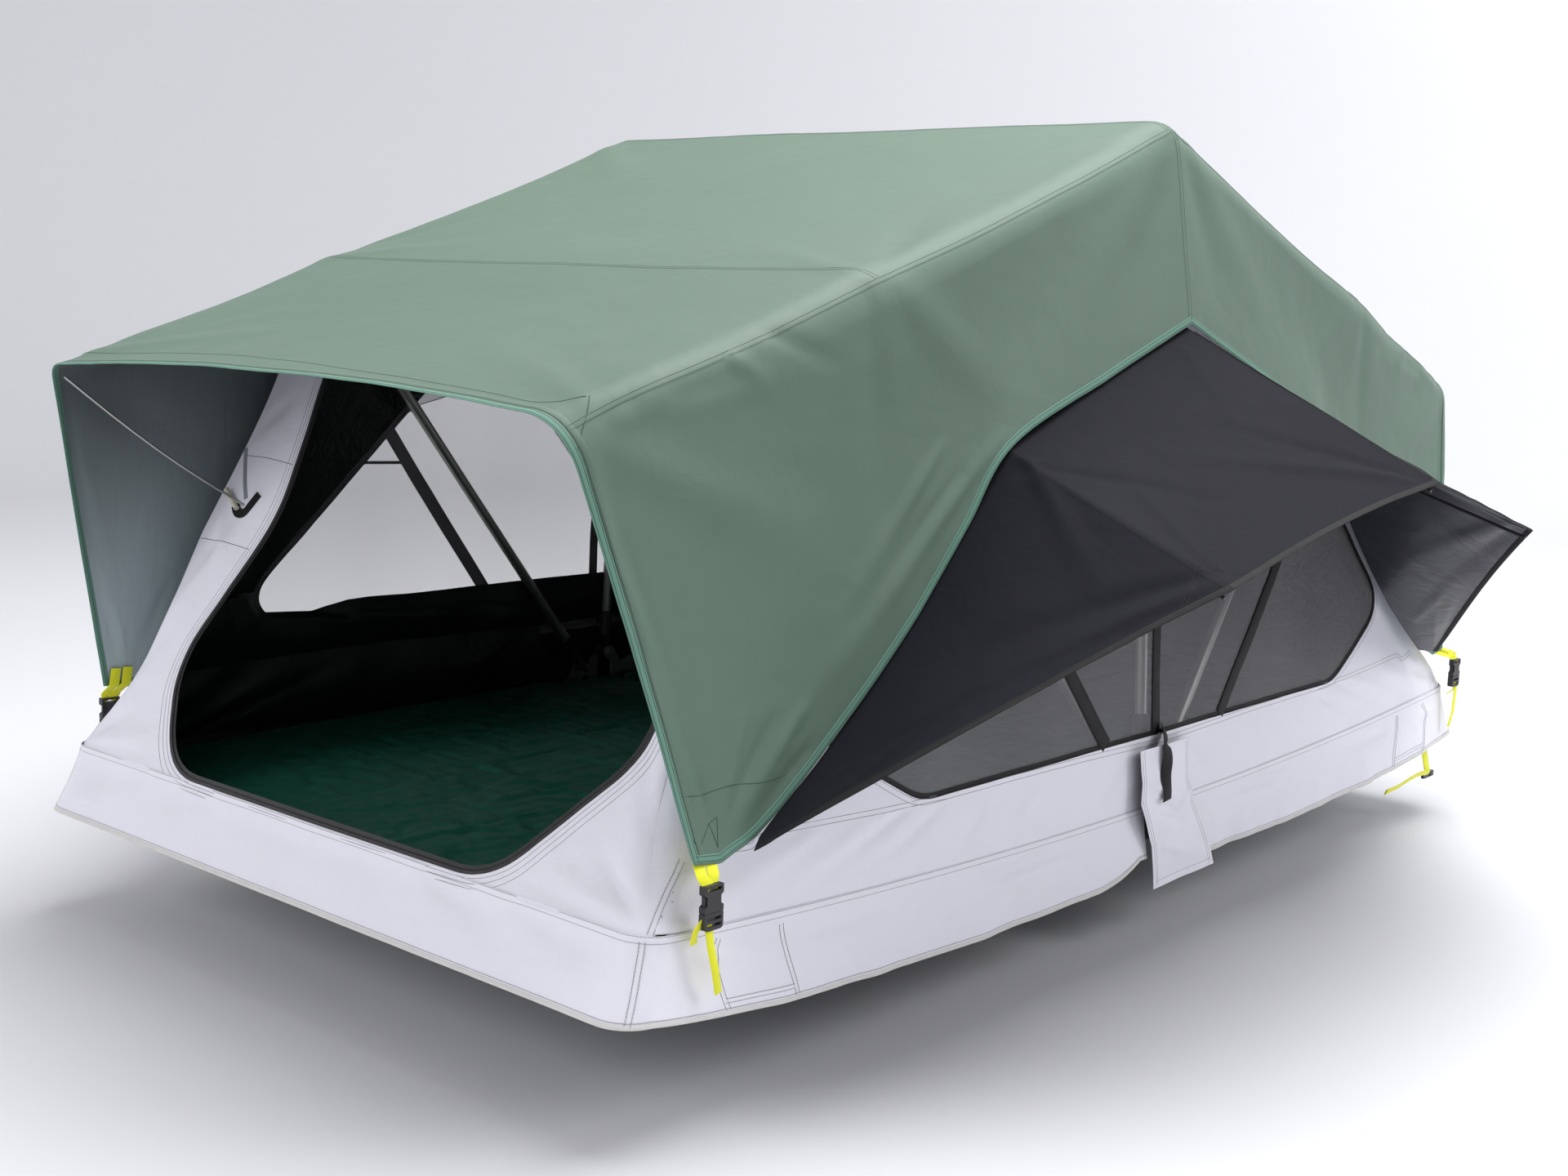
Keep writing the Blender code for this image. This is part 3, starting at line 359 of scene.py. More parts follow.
def thread_finish(name, thread, cloth, share):
    """Sewing thread: in the gaps between stitches a share of the cloth's colour. U runs along the line."""
    f = Finish(name, Specular_IOR_Level=0.3)
    u, v, _ = f.coordinates()
    gap = u.repeat(sizes().stitch) > 0.78
    twist = 0.5 + 0.5 * (u + 0.5 * v).sine(0.0011)
    f.bump(twist, 0.0001)
    between = tuple(share * k for k in shade(cloth))
    return f.set(Base_Color=f.mix(gap, f.shaded(thread, 0.85 + 0.3 * twist), between),
                 Roughness=0.6 + 0.1 * twist)


sage_thread = partial(thread_finish, "sage_thread", "sage_thread", "sage", 0.6)
white_thread = partial(thread_finish, "white_thread", "white_thread", "white", 0.7)
charcoal_thread = partial(thread_finish, "charcoal_thread", (0.004, 0.004, 0.005), "charcoal", 1.0)


def window_net():
    """Netting: a fine square mesh, open between its threads, with faint vertical bands."""
    f = Finish("window_net", Roughness=0.7, Specular_IOR_Level=0.3)
    u, v, _ = f.coordinates()
    band = f.noise(0.25, 2.0, source="UV", stretch=(1.0, 0.1, 1.0))
    threads = f.maths("MAXIMUM", u.sine(0.0030), v.sine(0.0030))
    return f.set(Base_Color=f.shaded("net", 0.85 + 0.3 * band),
                 Alpha=0.225 + 0.02 * threads + 0.08 * (band - 0.5))


def metal_finish(name, base, roughness, grain, scratches=0.10):
    """Satin metal: drawn grain along one axis, smudges and a few fine scratches."""
    f = Finish(name, Metallic=1.0)
    drawn = f.noise(0.05, 4.0, stretch=grain)
    smudge = f.noise(0.08, 4.0)
    scratch = f.noise(0.02, 6.0, stretch=(1.0, 12.0, 1.0), bend=1.0).within(0.62, 0.70)
    f.bump(drawn, 0.00006)
    return f.set(Base_Color=f.shaded(base, 0.90 + 0.14 * drawn + 0.12 * (smudge - 0.5) + scratches * scratch),
                 Roughness=roughness + 0.14 * (smudge - 0.5) + 0.10 * (drawn - 0.5))


satin_aluminium = partial(metal_finish, "satin_aluminium", "aluminium", 0.34, (40.0, 2.0, 40.0))
hoop_tube = partial(metal_finish, "anodised_tube", (0.46, 0.46, 0.44), 0.42, (20.0, 20.0, 20.0))
steel = partial(metal_finish, "plated_steel", "steel", 0.36, (8.0, 30.0, 8.0), scratches=0.2)


def black_rail():
    """Extrusion made near black as painted shade, to pass for the shadow under the base: fine length grain, a
    little paler where it is handled.
    """
    f = Finish("black_rail", Specular_IOR_Level=0.5)
    grain = f.noise(0.02, 4.0, stretch=(30.0, 1.0, 30.0))
    worn = f.noise(0.06, 4.0)
    f.bump(grain, 0.00005)
    # painted shade: near-black base colour so that the rails read as the shadow beneath the tent
    return f.set(Base_Color=f.shaded((0.012, 0.012, 0.013), 0.8 + 0.4 * worn),
                 Roughness=0.38 + 0.14 * (grain - 0.5))


def board():
    """Laminated board: fine pebble texture and faint scuffs."""
    f = Finish("board_laminate", Specular_IOR_Level=0.45)
    pebble = f.noise(0.0025, 2.0)
    scuff = f.noise(0.12, 5.0, bend=0.8)
    f.bump(pebble, 0.0002)
    return f.set(Base_Color=f.shaded("board", 0.88 + 0.16 * pebble + 0.15 * (scuff - 0.5)),
                 Roughness=0.48 + 0.15 * (scuff - 0.5))


def plastic():
    """Moulded plastic: fine spark grain, slightly shinier where it is handled."""
    f = Finish("moulded_plastic", Specular_IOR_Level=0.5)
    grain = f.noise(0.0009, 2.0)
    wear = f.noise(0.03, 4.0)
    f.bump(grain, 0.00008)
    return f.set(Base_Color=f.shaded("plastic", 0.8 + 0.4 * wear), Roughness=0.40 + 0.18 * (wear - 0.5))


def grained(name, base, dark, spread, roughness, rough_spread, size, height):
    """A smooth hard piece with faint grain, in its relief, colour and roughness."""
    f = Finish(name, Specular_IOR_Level=0.5)
    grain = f.noise(size, 3.0)
    f.bump(grain, height)
    return f.set(Base_Color=f.shaded(base, dark + spread * grain), Roughness=roughness + rough_spread * grain)


dark_rod = partial(grained, "dark_rod", (0.020, 0.020, 0.022), 0.8, 0.4, 0.36, 0.12, 0.004, 0.00005)
cream_nylon = partial(grained, "cream_nylon", (0.62, 0.58, 0.46), 0.9, 0.2, 0.45, 0.1, 0.002, 0.00006)


def zip_teeth():
    """Coil zip: dark tape with a row of teeth."""
    f = Finish("zip", Specular_IOR_Level=0.5)
    tooth = f.coordinates()[0].sine(0.0022)
    f.bump(0.5 + 0.5 * tooth, 0.0004)
    return f.set(Base_Color=f.shaded((0.010, 0.010, 0.011), 0.9 + 0.3 * tooth), Roughness=0.42 + 0.1 * tooth)


def studio_floor():
    """Pale studio floor with hardly any relief."""
    f = Finish("studio_floor", Specular_IOR_Level=0.2)
    cloud = f.noise(1.8, 3.0)
    grain = f.noise(0.02, 4.0)
    f.bump(grain, 0.0004)
    return f.set(Base_Color=f.shaded("floor", 0.985 + 0.03 * cloud), Roughness=0.70 + 0.06 * (grain - 0.5))


def unit(vectors):
    """Vectors scaled to length 1."""
    return vectors / np.maximum(np.linalg.norm(vectors, axis=-1, keepdims=True), 1e-9)


def smooth_curve(knots, t):
    """Points on the smooth curve through the knots, t from 0 at the first to 1 at the last."""
    knots = np.asarray(knots, float)
    place = np.clip(t, 0.0, 1.0) * (len(knots) - 1)
    first = np.minimum(place.astype(int), len(knots) - 2)
    f = (place - first)[..., None]
    p = [knots[np.clip(first + k, 0, len(knots) - 1)] for k in (-1, 0, 1, 2)]
    return 0.5 * (2 * p[1] + (p[2] - p[0]) * f + (2 * p[0] - 5 * p[1] + 4 * p[2] - p[3]) * f ** 2
                  + (3 * p[1] - p[0] - 3 * p[2] + p[3]) * f ** 3)


def line_through(knots, count):
    """Evenly spaced points along straight runs between the knots."""
    knots = np.asarray(knots, float)
    steps = np.linalg.norm(np.diff(knots, axis=0), axis=1)
    reach = np.concatenate([[0.0], np.cumsum(steps)])
    at = np.linspace(0.0, reach[-1], count)
    return np.stack([np.interp(at, reach, knots[:, k]) for k in range(knots.shape[1])], axis=1)


def curve(knots, count, signs=(1, 1)):
    """Two rows of sheet coordinates along the smooth curve through the knots, each with its sign."""
    return smooth_curve(knots, np.linspace(0, 1, count)).T * np.array(signs)[:, None]


def crossed(u, v):
    """Two grids of coordinates, the first down the rows and the second along them."""
    return np.meshgrid(u, v, indexing="ij")


def linked(name, data):
    """A new object of the scene."""
    piece = bpy.data.objects.new(name, data)
    bpy.context.scene.collection.objects.link(piece)
    return piece


def soft_noise(points, size, seed=0):
    """Smooth noise from -1 to 1, its bumps size metres across."""
    p = np.asarray(points) / size
    cell = np.floor(p)
    f = p - cell
    f = f * f * (3 - 2 * f)
    total = 0.0
    for corner in itertools.product((0, 1), repeat=3):
        c = cell + np.array(corner)
        h = np.sin(c[..., 0] * 127.1 + c[..., 1] * 311.7 + c[..., 2] * 74.7 + seed * 19.19) * 43758.5453
        total = total + (2 * (h - np.floor(h)) - 1) * np.prod(np.where(corner, f, 1 - f), axis=-1)
    return total


def fold(points, start, end, width, height):
    """A tension fold: a ridge strongest near its start that dies out at its end."""
    run = end - start
    t = np.clip((points - start) @ run / (run @ run), 0.0, 1.0)
    gap = np.linalg.norm(points - (start + t[..., None] * run), axis=-1)
    spread = width * (0.6 + 0.8 * t)
    return height * np.exp(-(gap / spread) ** 2) * np.sin(math.pi * t ** 0.6)


def folds(*rows):
    """A table of folds, written in millimetres: start, end, width and height of each."""
    return [(row[:3], row[3:6], row[6], row[7]) for row in np.array(rows) / 1000]


def folded(points, table, out=None):
    """Height of a table's folds. The axis out of the cloth counts little: x on sides, z on roofs."""
    total = 0.0
    for start, end, width, height in table:
        axis = out
        if axis is None:
            axis = 0 if min(start[0], end[0]) > 0.6 else 2
        ease = np.where(np.arange(3) == axis, 0.15, 1.0)
        total = total + fold(np.abs(points) * ease, start * ease, end * ease, width, height)
    return total


def uneven(points, seed, *waves):
    """Slack of a cloth: noise in several sizes, each given as (height, size), seeds following on."""
    return sum(height * soft_noise(points, size, seed + k) for k, (height, size) in enumerate(waves))


class Surface:
    """A sheet: a base shape of two coordinates, and relief on it read from the place in space."""

    def __init__(self, base, relief, centre):
        self.base, self.relief, self.centre = base, relief, np.array(centre)

    def normals(self, shape, u, v, step=2e-3):
        du = shape(u + step, v) - shape(u - step, v)
        dv = shape(u, v + step) - shape(u, v - step)
        n = unit(np.cross(du, dv))
        outward = np.sign(np.sum(n * (shape(u, v) - self.centre), axis=-1, keepdims=True))
        return n * np.where(outward == 0, 1, outward)

    def points(self, u, v):
        p = self.base(u, v)
        return p + self.normals(self.base, u, v) * self.relief(p)[..., None]

    def both(self, u, v):
        """Points and the directions out of the sheet there."""
        u, v = np.broadcast_arrays(np.asarray(u, float), np.asarray(v, float))
        return self.points(u, v), self.normals(self.points, u, v)


class Shape:
    """Points and faces gathered for one object, its cloth coordinates in metres and its finishes."""

    def __init__(self):
        self.points, self.faces, self.uv, self.marks, self.count = [], [], [], [], 0

    def add(self, points, faces, uv, mark):
        """Faces are rows of point numbers, all of one length; uv has a pair for each corner."""
        self.points.append(points.reshape(-1, 3))
        self.faces.extend((np.asarray(faces) + self.count).tolist())
        self.uv.append(np.asarray(uv, float).reshape(-1, 2))
        self.marks.extend([mark] * len(faces))
        self.count += len(self.points[-1])

    def grid(self, points, uv, mark=0, round_rows=False, round_columns=False, flip=False):
        """Quads over rows and columns of points. uv has one more row or column where the grid closes."""
        rows, columns = points.shape[:2]
        i, j = crossed(np.arange(rows - (not round_rows)), np.arange(columns - (not round_columns)))
        i, j = i.ravel(), j.ravel()
        corners = [(i, j), (i, j + 1), (i + 1, j + 1), (i + 1, j)]
        if flip:
            corners.reverse()
        faces = np.stack([(a % rows) * columns + b % columns for a, b in corners], axis=1)
        self.add(points, faces, np.stack([uv[a, b] for a, b in corners], axis=1), mark)

    def sheet(self, points, normals, thickness, uv=None, marks=(0, 1), ring=False):
        """Cloth with a thickness: an outer face, an inner face and the edge between them."""
        if uv is None:
            uv = cloth_coordinates(points)
        across = points[:, 1:] - points[:, :-1]
        down = points[1:] - points[:-1]
        facing = np.cross(across[:-1], down[:, :-1])
        flip = np.sum(facing * normals[:-1, :-1]) < 0
        outer, inner = points + normals * thickness / 2, points - normals * thickness / 2
        self.grid(outer, uv, marks[0], round_columns=ring, flip=flip)
        self.grid(inner, uv, marks[1], round_columns=ring, flip=not flip)
        edges = [(outer[0], inner[0], uv[0], True), (outer[-1], inner[-1], uv[-1], False)]
        if not ring:
            edges += [(outer[:, 0], inner[:, 0], uv[:, 0], False),
                      (outer[:, -1], inner[:, -1], uv[:, -1], True)]
        for top, bottom, at, turn in edges:
            self.grid(np.stack([top, bottom]), np.stack([at, at]), marks[0], round_columns=ring,
                      flip=bool(turn) == bool(flip))

    def cover(self, sheet, u, v, thickness, uv=None, marks=(0, 1), ring=False):
        """Cloth laid over a sheet at a grid of its coordinates. Gives its area."""
        points, normals = sheet.both(u, v)
        self.sheet(points, normals, thickness, uv, marks, ring)
        return grid_area(np.concatenate([points, points[:, :1]], axis=1) if ring else points)

    def sweep(self, path, normals, section, mark=0, closed=False):
        """A section of (across, out) pairs carried along a path."""
        path, section = np.asarray(path, float), np.asarray(section, float)
        if closed:
            tangent = np.roll(path, -1, axis=0) - np.roll(path, 1, axis=0)
        else:
            tangent = np.gradient(path, axis=0)
        tangent = unit(tangent)
        across = unit(np.cross(tangent, normals))
        out = unit(np.cross(across, tangent))
        points = path[:, None] + across[:, None] * section[None, :, :1] + out[:, None] * section[None, :, 1:2]
        runs = np.linalg.norm(np.diff(path, axis=0, append=path[:1]), axis=1)
        along = np.concatenate([[0.0], np.cumsum(runs)])[:len(path) + closed]
        around = np.concatenate([[0.0], np.cumsum(np.linalg.norm(np.roll(section, -1, 0) - section, axis=1))])
        uv = np.stack(crossed(along, around), axis=-1)
        area = np.sum(section[:, 0] * np.roll(section[:, 1], -1) - np.roll(section[:, 0], -1) * section[:, 1])
        self.grid(points, uv, mark, round_rows=closed, round_columns=True, flip=area < 0)
        if not closed:
            turn = range(len(section))
            cap = list(turn) if area < 0 else list(reversed(turn))
            self.add(points[0], [cap], section[cap], mark)
            self.add(points[-1], [cap[::-1]], section[cap[::-1]], mark)

    def mesh(self, name, finishes):
        """The mesh of what was gathered, smooth, with its materials."""
        mesh = bpy.data.meshes.new(name)
        mesh.from_pydata(np.concatenate(self.points).tolist(), [], self.faces)
        mesh.shade_smooth()
        for finish in finishes:
            mesh.materials.append(made(finish))
        return mesh

    def build(self, name, finishes, body, slot, replaces=(), soft=True):
        """The object, riding on a body, in place of the frame's nodes that it stands for."""
        mesh = self.mesh(name, finishes)
        uv = np.concatenate(self.uv).astype(np.float32).ravel()
        mesh.uv_layers.new(name="cloth").uv.foreach_set("vector", uv)
        mesh.polygons.foreach_set("material_index", np.array(self.marks, dtype=np.int32))
        mesh.validate()
        mesh.set_sharp_from_angle(angle=math.radians(50))
        piece = linked(name, mesh)
        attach(piece, body)
        if replaces:
            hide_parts(*replaces)
        if soft:
            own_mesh(piece)
        return piece


def cloth_coordinates(points):
    """Distances across and along a grid of points, in metres."""
    across = np.linalg.norm(np.diff(points, axis=1, prepend=points[:, :1]), axis=-1).cumsum(axis=1)
    along = np.linalg.norm(np.diff(points, axis=0, prepend=points[:1]), axis=-1).cumsum(axis=0)
    middle = across[:, across.shape[1] // 2][:, None]
    return np.stack([across - middle, along], axis=-1)


def flat_section(width, low, high):
    """Section of a tape that lies on cloth, with eased edges."""
    half, ease, middle = width / 2, min(0.0012, width / 5), (low + high) / 2
    return [(-half, low), (half, low), (half, middle),
            (half - ease, high), (ease - half, high), (-half, middle)]


def round_section(radius, lift, sides):
    """Section of a rod whose centre is a lift above the path."""
    angles = np.arange(sides) * math.tau / sides
    return np.stack([radius * np.cos(angles), lift + radius * np.sin(angles)], axis=1)


def straight(knots, t):
    """Points on the straight runs between the knots, t from 0 to 1 by number of knots."""
    knots = np.asarray(knots, float)
    place = np.clip(t, 0.0, 1.0) * (len(knots) - 1)
    return np.stack([np.interp(place, np.arange(len(knots)), k) for k in knots.T], axis=-1)


def rounded_outline(corners, count):
    """Evenly spaced points round a closed outline with rounded corners, each given as (u, v, radius)."""
    corners = np.asarray(corners, float)
    points = []
    for before, here, after in zip(np.roll(corners, 1, 0), corners, np.roll(corners, -1, 0)):
        to_before, to_after = before[:2] - here[:2], after[:2] - here[:2]
        lengths = np.linalg.norm(to_before), np.linalg.norm(to_after)
        half = math.acos(np.clip(to_before @ to_after / (lengths[0] * lengths[1]), -1, 1)) / 2
        reach = min(here[2] / math.tan(half), 0.48 * lengths[0], 0.48 * lengths[1])
        first, last = here[:2] + to_before / lengths[0] * reach, here[:2] + to_after / lengths[1] * reach
        t = np.linspace(0, 1, 9)[:, None]
        points.append(first * (1 - t) ** 2 + here[:2] * 2 * t * (1 - t) + last * t * t)
    points = np.concatenate(points)
    return line_through(np.concatenate([points, points[:1]]), count + 1)[:-1]


def polar(points, centre):
    """Angles and distances of points from a centre, in order of angle."""
    gap = points - np.asarray(centre)
    angle, reach = np.arctan2(gap[:, 1], gap[:, 0]), np.hypot(gap[:, 0], gap[:, 1])
    order = np.argsort(angle)
    return angle[order], reach[order]


def around_hole(hole, border, centre, angles, rows):
    """Flat grid from a hole's outline (row 0) out to a border, along rays at the angles."""
    hole_reach = np.interp(angles, *polar(hole, centre), period=math.tau)
    border_reach = np.interp(angles, *polar(border, centre), period=math.tau)
    t = np.linspace(0, 1, rows)[:, None]
    reach = hole_reach + (border_reach - hole_reach) * t
    return np.stack([centre[0] + reach * np.cos(angles), centre[1] + reach * np.sin(angles)], axis=-1)


def inward(sheet, u, v, du, dv, distance):
    """Sheet coordinates moved a distance in metres along the direction (du, dv)."""
    step = 1e-3
    u, v = np.broadcast_arrays(np.asarray(u, float), np.asarray(v, float))
    reach = np.linalg.norm(sheet.base(u + du * step, v + dv * step) - sheet.base(u, v), axis=-1) / step
    return u + du * distance / reach, v + dv * distance / reach


FACE = 0.0004  # how far stitches stand above the middle of the cloth that they lie on


class Trim(Shape):
    """Tapes, seams and stitching that lie on a sheet."""

    def line(self, sheet, u, v, rows=(0.0,), mark=1, lift=FACE, inside=False, closed=False):
        """Rows of stitches along a line of the sheet, each at its distance to the side of the line."""
        path, normals = sheet.both(u, v)
        normals = -normals if inside else normals
        half = sizes().thread
        high = lift + 0.8 * half
        for row in rows:
            section = [(row - half, lift), (row + half, lift),
                       (row + half * 0.6, high), (row - half * 0.6, high)]
            self.sweep(path, normals, section, mark, closed=closed)

    def tape(self, sheet, u, v, width, mark=0, rows=(), row_mark=1, thick=0.0010, inside=False, closed=False):
        """A tape along a line of the sheet, with rows of stitches given as shares of its width."""
        path, normals = sheet.both(u, v)
        normals = -normals if inside else normals
        low = sizes().cloth / 2 - 0.0004
        self.sweep(path, normals, flat_section(width, low, low + thick), mark, closed=closed)
        if rows:
            rows = [row * width for row in rows]
            self.line(sheet, u, v, rows, row_mark, low + thick - 0.0002, inside, closed)


def grid_area(points):
    """Area of a grid of points."""
    a, b = points[1:, 1:] - points[:-1, :-1], points[1:, :-1] - points[:-1, 1:]
    return float(np.linalg.norm(np.cross(a, b), axis=-1).sum() / 2)


# Shares of the fly's half width: flat roof, then the rounded edge, then the side down to the hem
ROOF, EDGE = 0.50, 0.58
SEAM_LINE = 0.545
CORNER_CUT = 0.09  # share of the fly's length along which its hem is cut away at the bottom corner
FLY_FOLDS = folds(
    (610, 1230, 780, 680, 780, 600, 40, 4), (620, 1150, 820, 660, 700, 900, 35, 3),
    (640, 750, 970, 690, 720, 560, 35, -4), (640, 700, 970, 690, 420, 780, 40, 4.5),
    (650, 30, 1210, 690, 400, 820, 45, 4), (650, 20, 1220, 690, 140, 900, 30, -3.5),
    (610, 1220, 810, 200, 1050, 900, 30, 3), (620, 750, 990, 250, 600, 1030, 26, 2.5),
    (630, 720, 1000, 450, 350, 1110, 30, -3), (640, 40, 1230, 300, 300, 1140, 35, 3.5),
    (610, 1235, 790, 697, 1115, 320, 16, 4.2), (620, 1215, 740, 697, 1100, 300, 13, -3.6),
    (650, 1190, 620, 699, 1095, 280, 12, 3.6), (670, 1165, 520, 699, 1085, 280, 10, -3),
    (690, 1130, 400, 699, 1090, 270, 9, 3), (697, 1100, 360, 699, 1096, 270, 8, -2.4),
    (680, 490, 770, 694, 930, 400, 16, 4.6), (680, 570, 720, 690, 840, 480, 13, -3.6),
    (670, 600, 760, 686, 860, 500, 14, 3), (694, 900, 430, 699, 1070, 270, 12, 4.2),
    (695, 960, 420, 699, 1080, 270, 10, -3.4), (690, 1010, 430, 699, 1080, 270, 10, 3),
    (695, 900, 375, 699, 1030, 278, 9, -3.4), (620, 1215, 815, 640, 960, 895, 18, 4.8),
    (630, 1100, 820, 645, 860, 885, 16, -4), (620, 1190, 790, 640, 1080, 840, 12, 4),
    (620, 1000, 875, 655, 930, 840, 12, 3.6), (630, 930, 905, 660, 800, 860, 14, -3.4),
)


def at_stations(first, second, third, s):
    """The line through an awning's corner (s 0), an end hoop's corner and the ridge's corner (s 1)."""
    return np.stack([np.interp(s, (0.0, HOOP_STATION, 1.0), k) for k in zip(first, second, third)], axis=-1)


def fly_relief(p):
    """Tension folds and slack of the fly's cloth."""
    lively = 0.95 + 0.30 * soft_noise(np.sign(p) * 3.0, 1.0, seed=4)
    slack = uneven(p, 1, (0.0022, 0.24), (0.0009, 0.08), (0.0003, 0.028))
    return slack + lively * folded(p, FLY_FOLDS)


def fly_sheet(end):
    """Half of the fly: s from the awning's edge (0) to the ridge (1), w across from hem (-1) to hem (1)."""
    def base(s, w):
        s, w = np.broadcast_arrays(np.asarray(s, float), np.asarray(w, float))
        a = np.minimum(np.abs(w), 1.0)[..., None]
        edge = np.clip(s / HOOP_STATION, 0, 1)[..., None]
        back = np.clip((s - HOOP_STATION) / (1 - HOOP_STATION), 0, 1)[..., None]
        corner = at_stations(FLY_AWNING, FLY_HOOP, FLY_PEAK, s)
        sag = 0.006 * np.sin(math.pi * edge) + 0.010 * np.sin(math.pi * back)
        sag = sag + 0.354 * (np.hypot(corner[..., 1:2], 0.010) - corner[..., 1:2])
        corner = corner - sag * [0, 0, 1]
        hem, low = smooth_curve(FLY_HEM, s), smooth_curve(FLY_HEM, np.array(CORNER_CUT))
        knots = (0.700,) * 3, (1.124, 1.076, low[1]), (0.255, 0.248, low[2])
        cut = np.stack([np.interp(s, (0, 0.035, CORNER_CUT), k) for k in knots], axis=-1)
        hem = np.where((s < CORNER_CUT)[..., None], cut, hem)
        tight = np.where(w < 0, -0.022, 0.030) if end < 0 else 0.0
        radius = 0.050 + (tight * np.clip(1 - 14 * s, 0, 1))[..., None]
        top = corner * [0, 1, 1]
        first, last = corner + unit(top - corner) * radius, corner + unit(hem - corner) * radius
        t = np.clip(a / ROOF, 0, 1)
        roof = top + (first - top) * t + 0.020 * (1 - edge) ** 2 * (1 - t * t) * [0, 0, 1]
        t = np.clip((a - ROOF) / (EDGE - ROOF), 0, 1)
        bend = first * (1 - t) ** 2 + corner * 2 * t * (1 - t) + last * t * t
        t = np.clip((a - EDGE) / (1 - EDGE), 0, 1)
        pull = 0.012 * np.sin(math.pi * np.clip(s, 0, 1))[..., None] * np.sin(math.pi * t)
        side = last + (hem - last) * t - pull * [1, 0, 0]
        p = np.where(a < ROOF, roof, np.where(a < EDGE, bend, side))
        return p * np.stack([np.where(w < 0, -1, 1), np.full_like(w, end), np.ones_like(w)], axis=-1)
    return Surface(base, fly_relief, (0.0, 0.3 * end, 0.55))


def fly_columns():
    """Places across the fly, close together round its edges."""
    roof, bend = np.linspace(0, ROOF, 42)[:-1], np.linspace(ROOF, EDGE, 11)[:-1]
    half = np.concatenate([roof, bend, np.linspace(EDGE, 1, 72)])
    return np.concatenate([-half[:0:-1], half])


class TENT_OT_fly(Operator):
    """Sew the fly: two halves of sage cloth over the hoops, dark inside."""
    bl_idname = "tent.fly"
    bl_label = "Fly"

    def execute(self, context):
        for end in (-1, 1):
            shape = Shape()
            area = shape.cover(fly_sheet(end), *crossed(np.linspace(0, 1, 150), fly_columns()), sizes().cloth)
            piece = shape.build(f"fly_{END[end]}", (sage, sage_inside), BODY[end], "sage_cloth", ("fly",))
        return {"FINISHED"}


HEM = 0.0012  # thickness of the fly's hem binding
HEM_LINE = 0.998
# Stitching on the fly, in its own coordinates: along the awning, at each corner, and a strap's box
FRONT_SEAM = ((0.040, -0.535), (0.0484, -0.225), (0.044, 0.000), (0.0316, 0.162), (0.0253, 0.407),
              (0.0245, 0.495), (0.052, 0.521))
CORNER_SEAMS = (((0.0547, 0.522), (0.040, 0.538), (0.0231, 0.552), (0.004, 0.566)),
                ((0.006, 0.9235), (0.0748, 0.9335), (0.1244, 0.9428), (0.205, 0.9800)))
STRAP_BOX = ((0.004, 0.955), (0.012, 0.984), (0.034, 0.957), (0.060, 0.957), (0.040, 0.984), (0.034, 0.957))


class TENT_OT_fly_trim(Operator):
    """Sew the fly's bindings, felled seams, corner patches and webbing ends."""
    bl_idname = "tent.fly_trim"
    bl_label = "Fly trim"

    def execute(self, context):
        width, seam = sizes().binding, sizes().seam
        for end in (-1, 1):
            sheet, trim = fly_sheet(end), Trim()
            across = np.linspace(-HEM_LINE, HEM_LINE, 260)
            edge = inward(sheet, 0, across, 1, 0, width * 0.5)
            trim.tape(sheet, *edge, width, 0, (-0.30, 0.30), thick=HEM)
            trim.tape(sheet, *inward(sheet, 0, across, 1, 0, width * 1.65), width, 2, (0.36,), thick=0.0008)
            trim.tape(sheet, *edge, width, 0, (0.0,), thick=HEM, inside=True)
            trim.line(sheet, *curve(FRONT_SEAM, 160))
            for side in (-1, 1):
                hem = inward(sheet, np.linspace(1.0, 0.004, 150), side * HEM_LINE, 0, -side, width * 0.5)
                trim.tape(sheet, *hem, width, 0, (-0.30, 0.30), thick=HEM)
                trim.tape(sheet, *hem, width, 0, (0.0,), thick=HEM, inside=True)
                along = np.linspace(0.012, 0.996, 110)
                trim.tape(sheet, along, side * SEAM_LINE, seam, 2, (-0.34, 0.34), thick=0.0006)
                down = np.linspace(SEAM_LINE, 0.985, 60) * side
                trim.tape(sheet, *inward(sheet, 1, down, -1, 0, 0.0048), 0.008, 2, (0.0,), thick=0.0006)
                for knots in CORNER_SEAMS:
                    trim.line(sheet, *curve(knots, 40, (1, side)))
                s, w = line_through(STRAP_BOX, 40).T
                trim.line(sheet, s, side * w)
            for station, limit in ((HOOP_STATION, 0.54), (0.993, SEAM_LINE)):
                across = np.linspace(-limit, limit, 90)
                bend = station + 0.012 * (np.abs(across) / limit) ** 12 * (station < 0.9)
                trim.tape(sheet, bend, across, seam, 2, (-0.34, 0.34), thick=0.0006)
            trim.build(f"fly_trim_{END[end]}", (binding, sage_thread, sage), BODY[end], "sage_cloth")
        return {"FINISHED"}


def column_at(v):
    return smooth_curve(COLUMN, v)


COLUMN_TABLE = column_at(np.linspace(0, 1, 240))


def edge_gap(p, k):
    """How far places on a side (k 1) or an end wall (k 0) are from the edge that the two share."""
    return np.interp(p[..., 2], COLUMN_TABLE[:, 2], COLUMN_TABLE[:, k]) - np.abs(p[..., k])


def eased(p, k):
    """Rounds the lower corner between a side and an end wall."""
    radius = 0.055 * np.clip((0.52 - p[..., 2]) / 0.25, 0, 1)
    pull = 0.25 * radius * np.clip(1 - edge_gap(p, k) / np.maximum(radius, 1e-4), 0, 1) ** 2
    return p - np.sign(p) * pull[..., None] * [1, 1, 0]


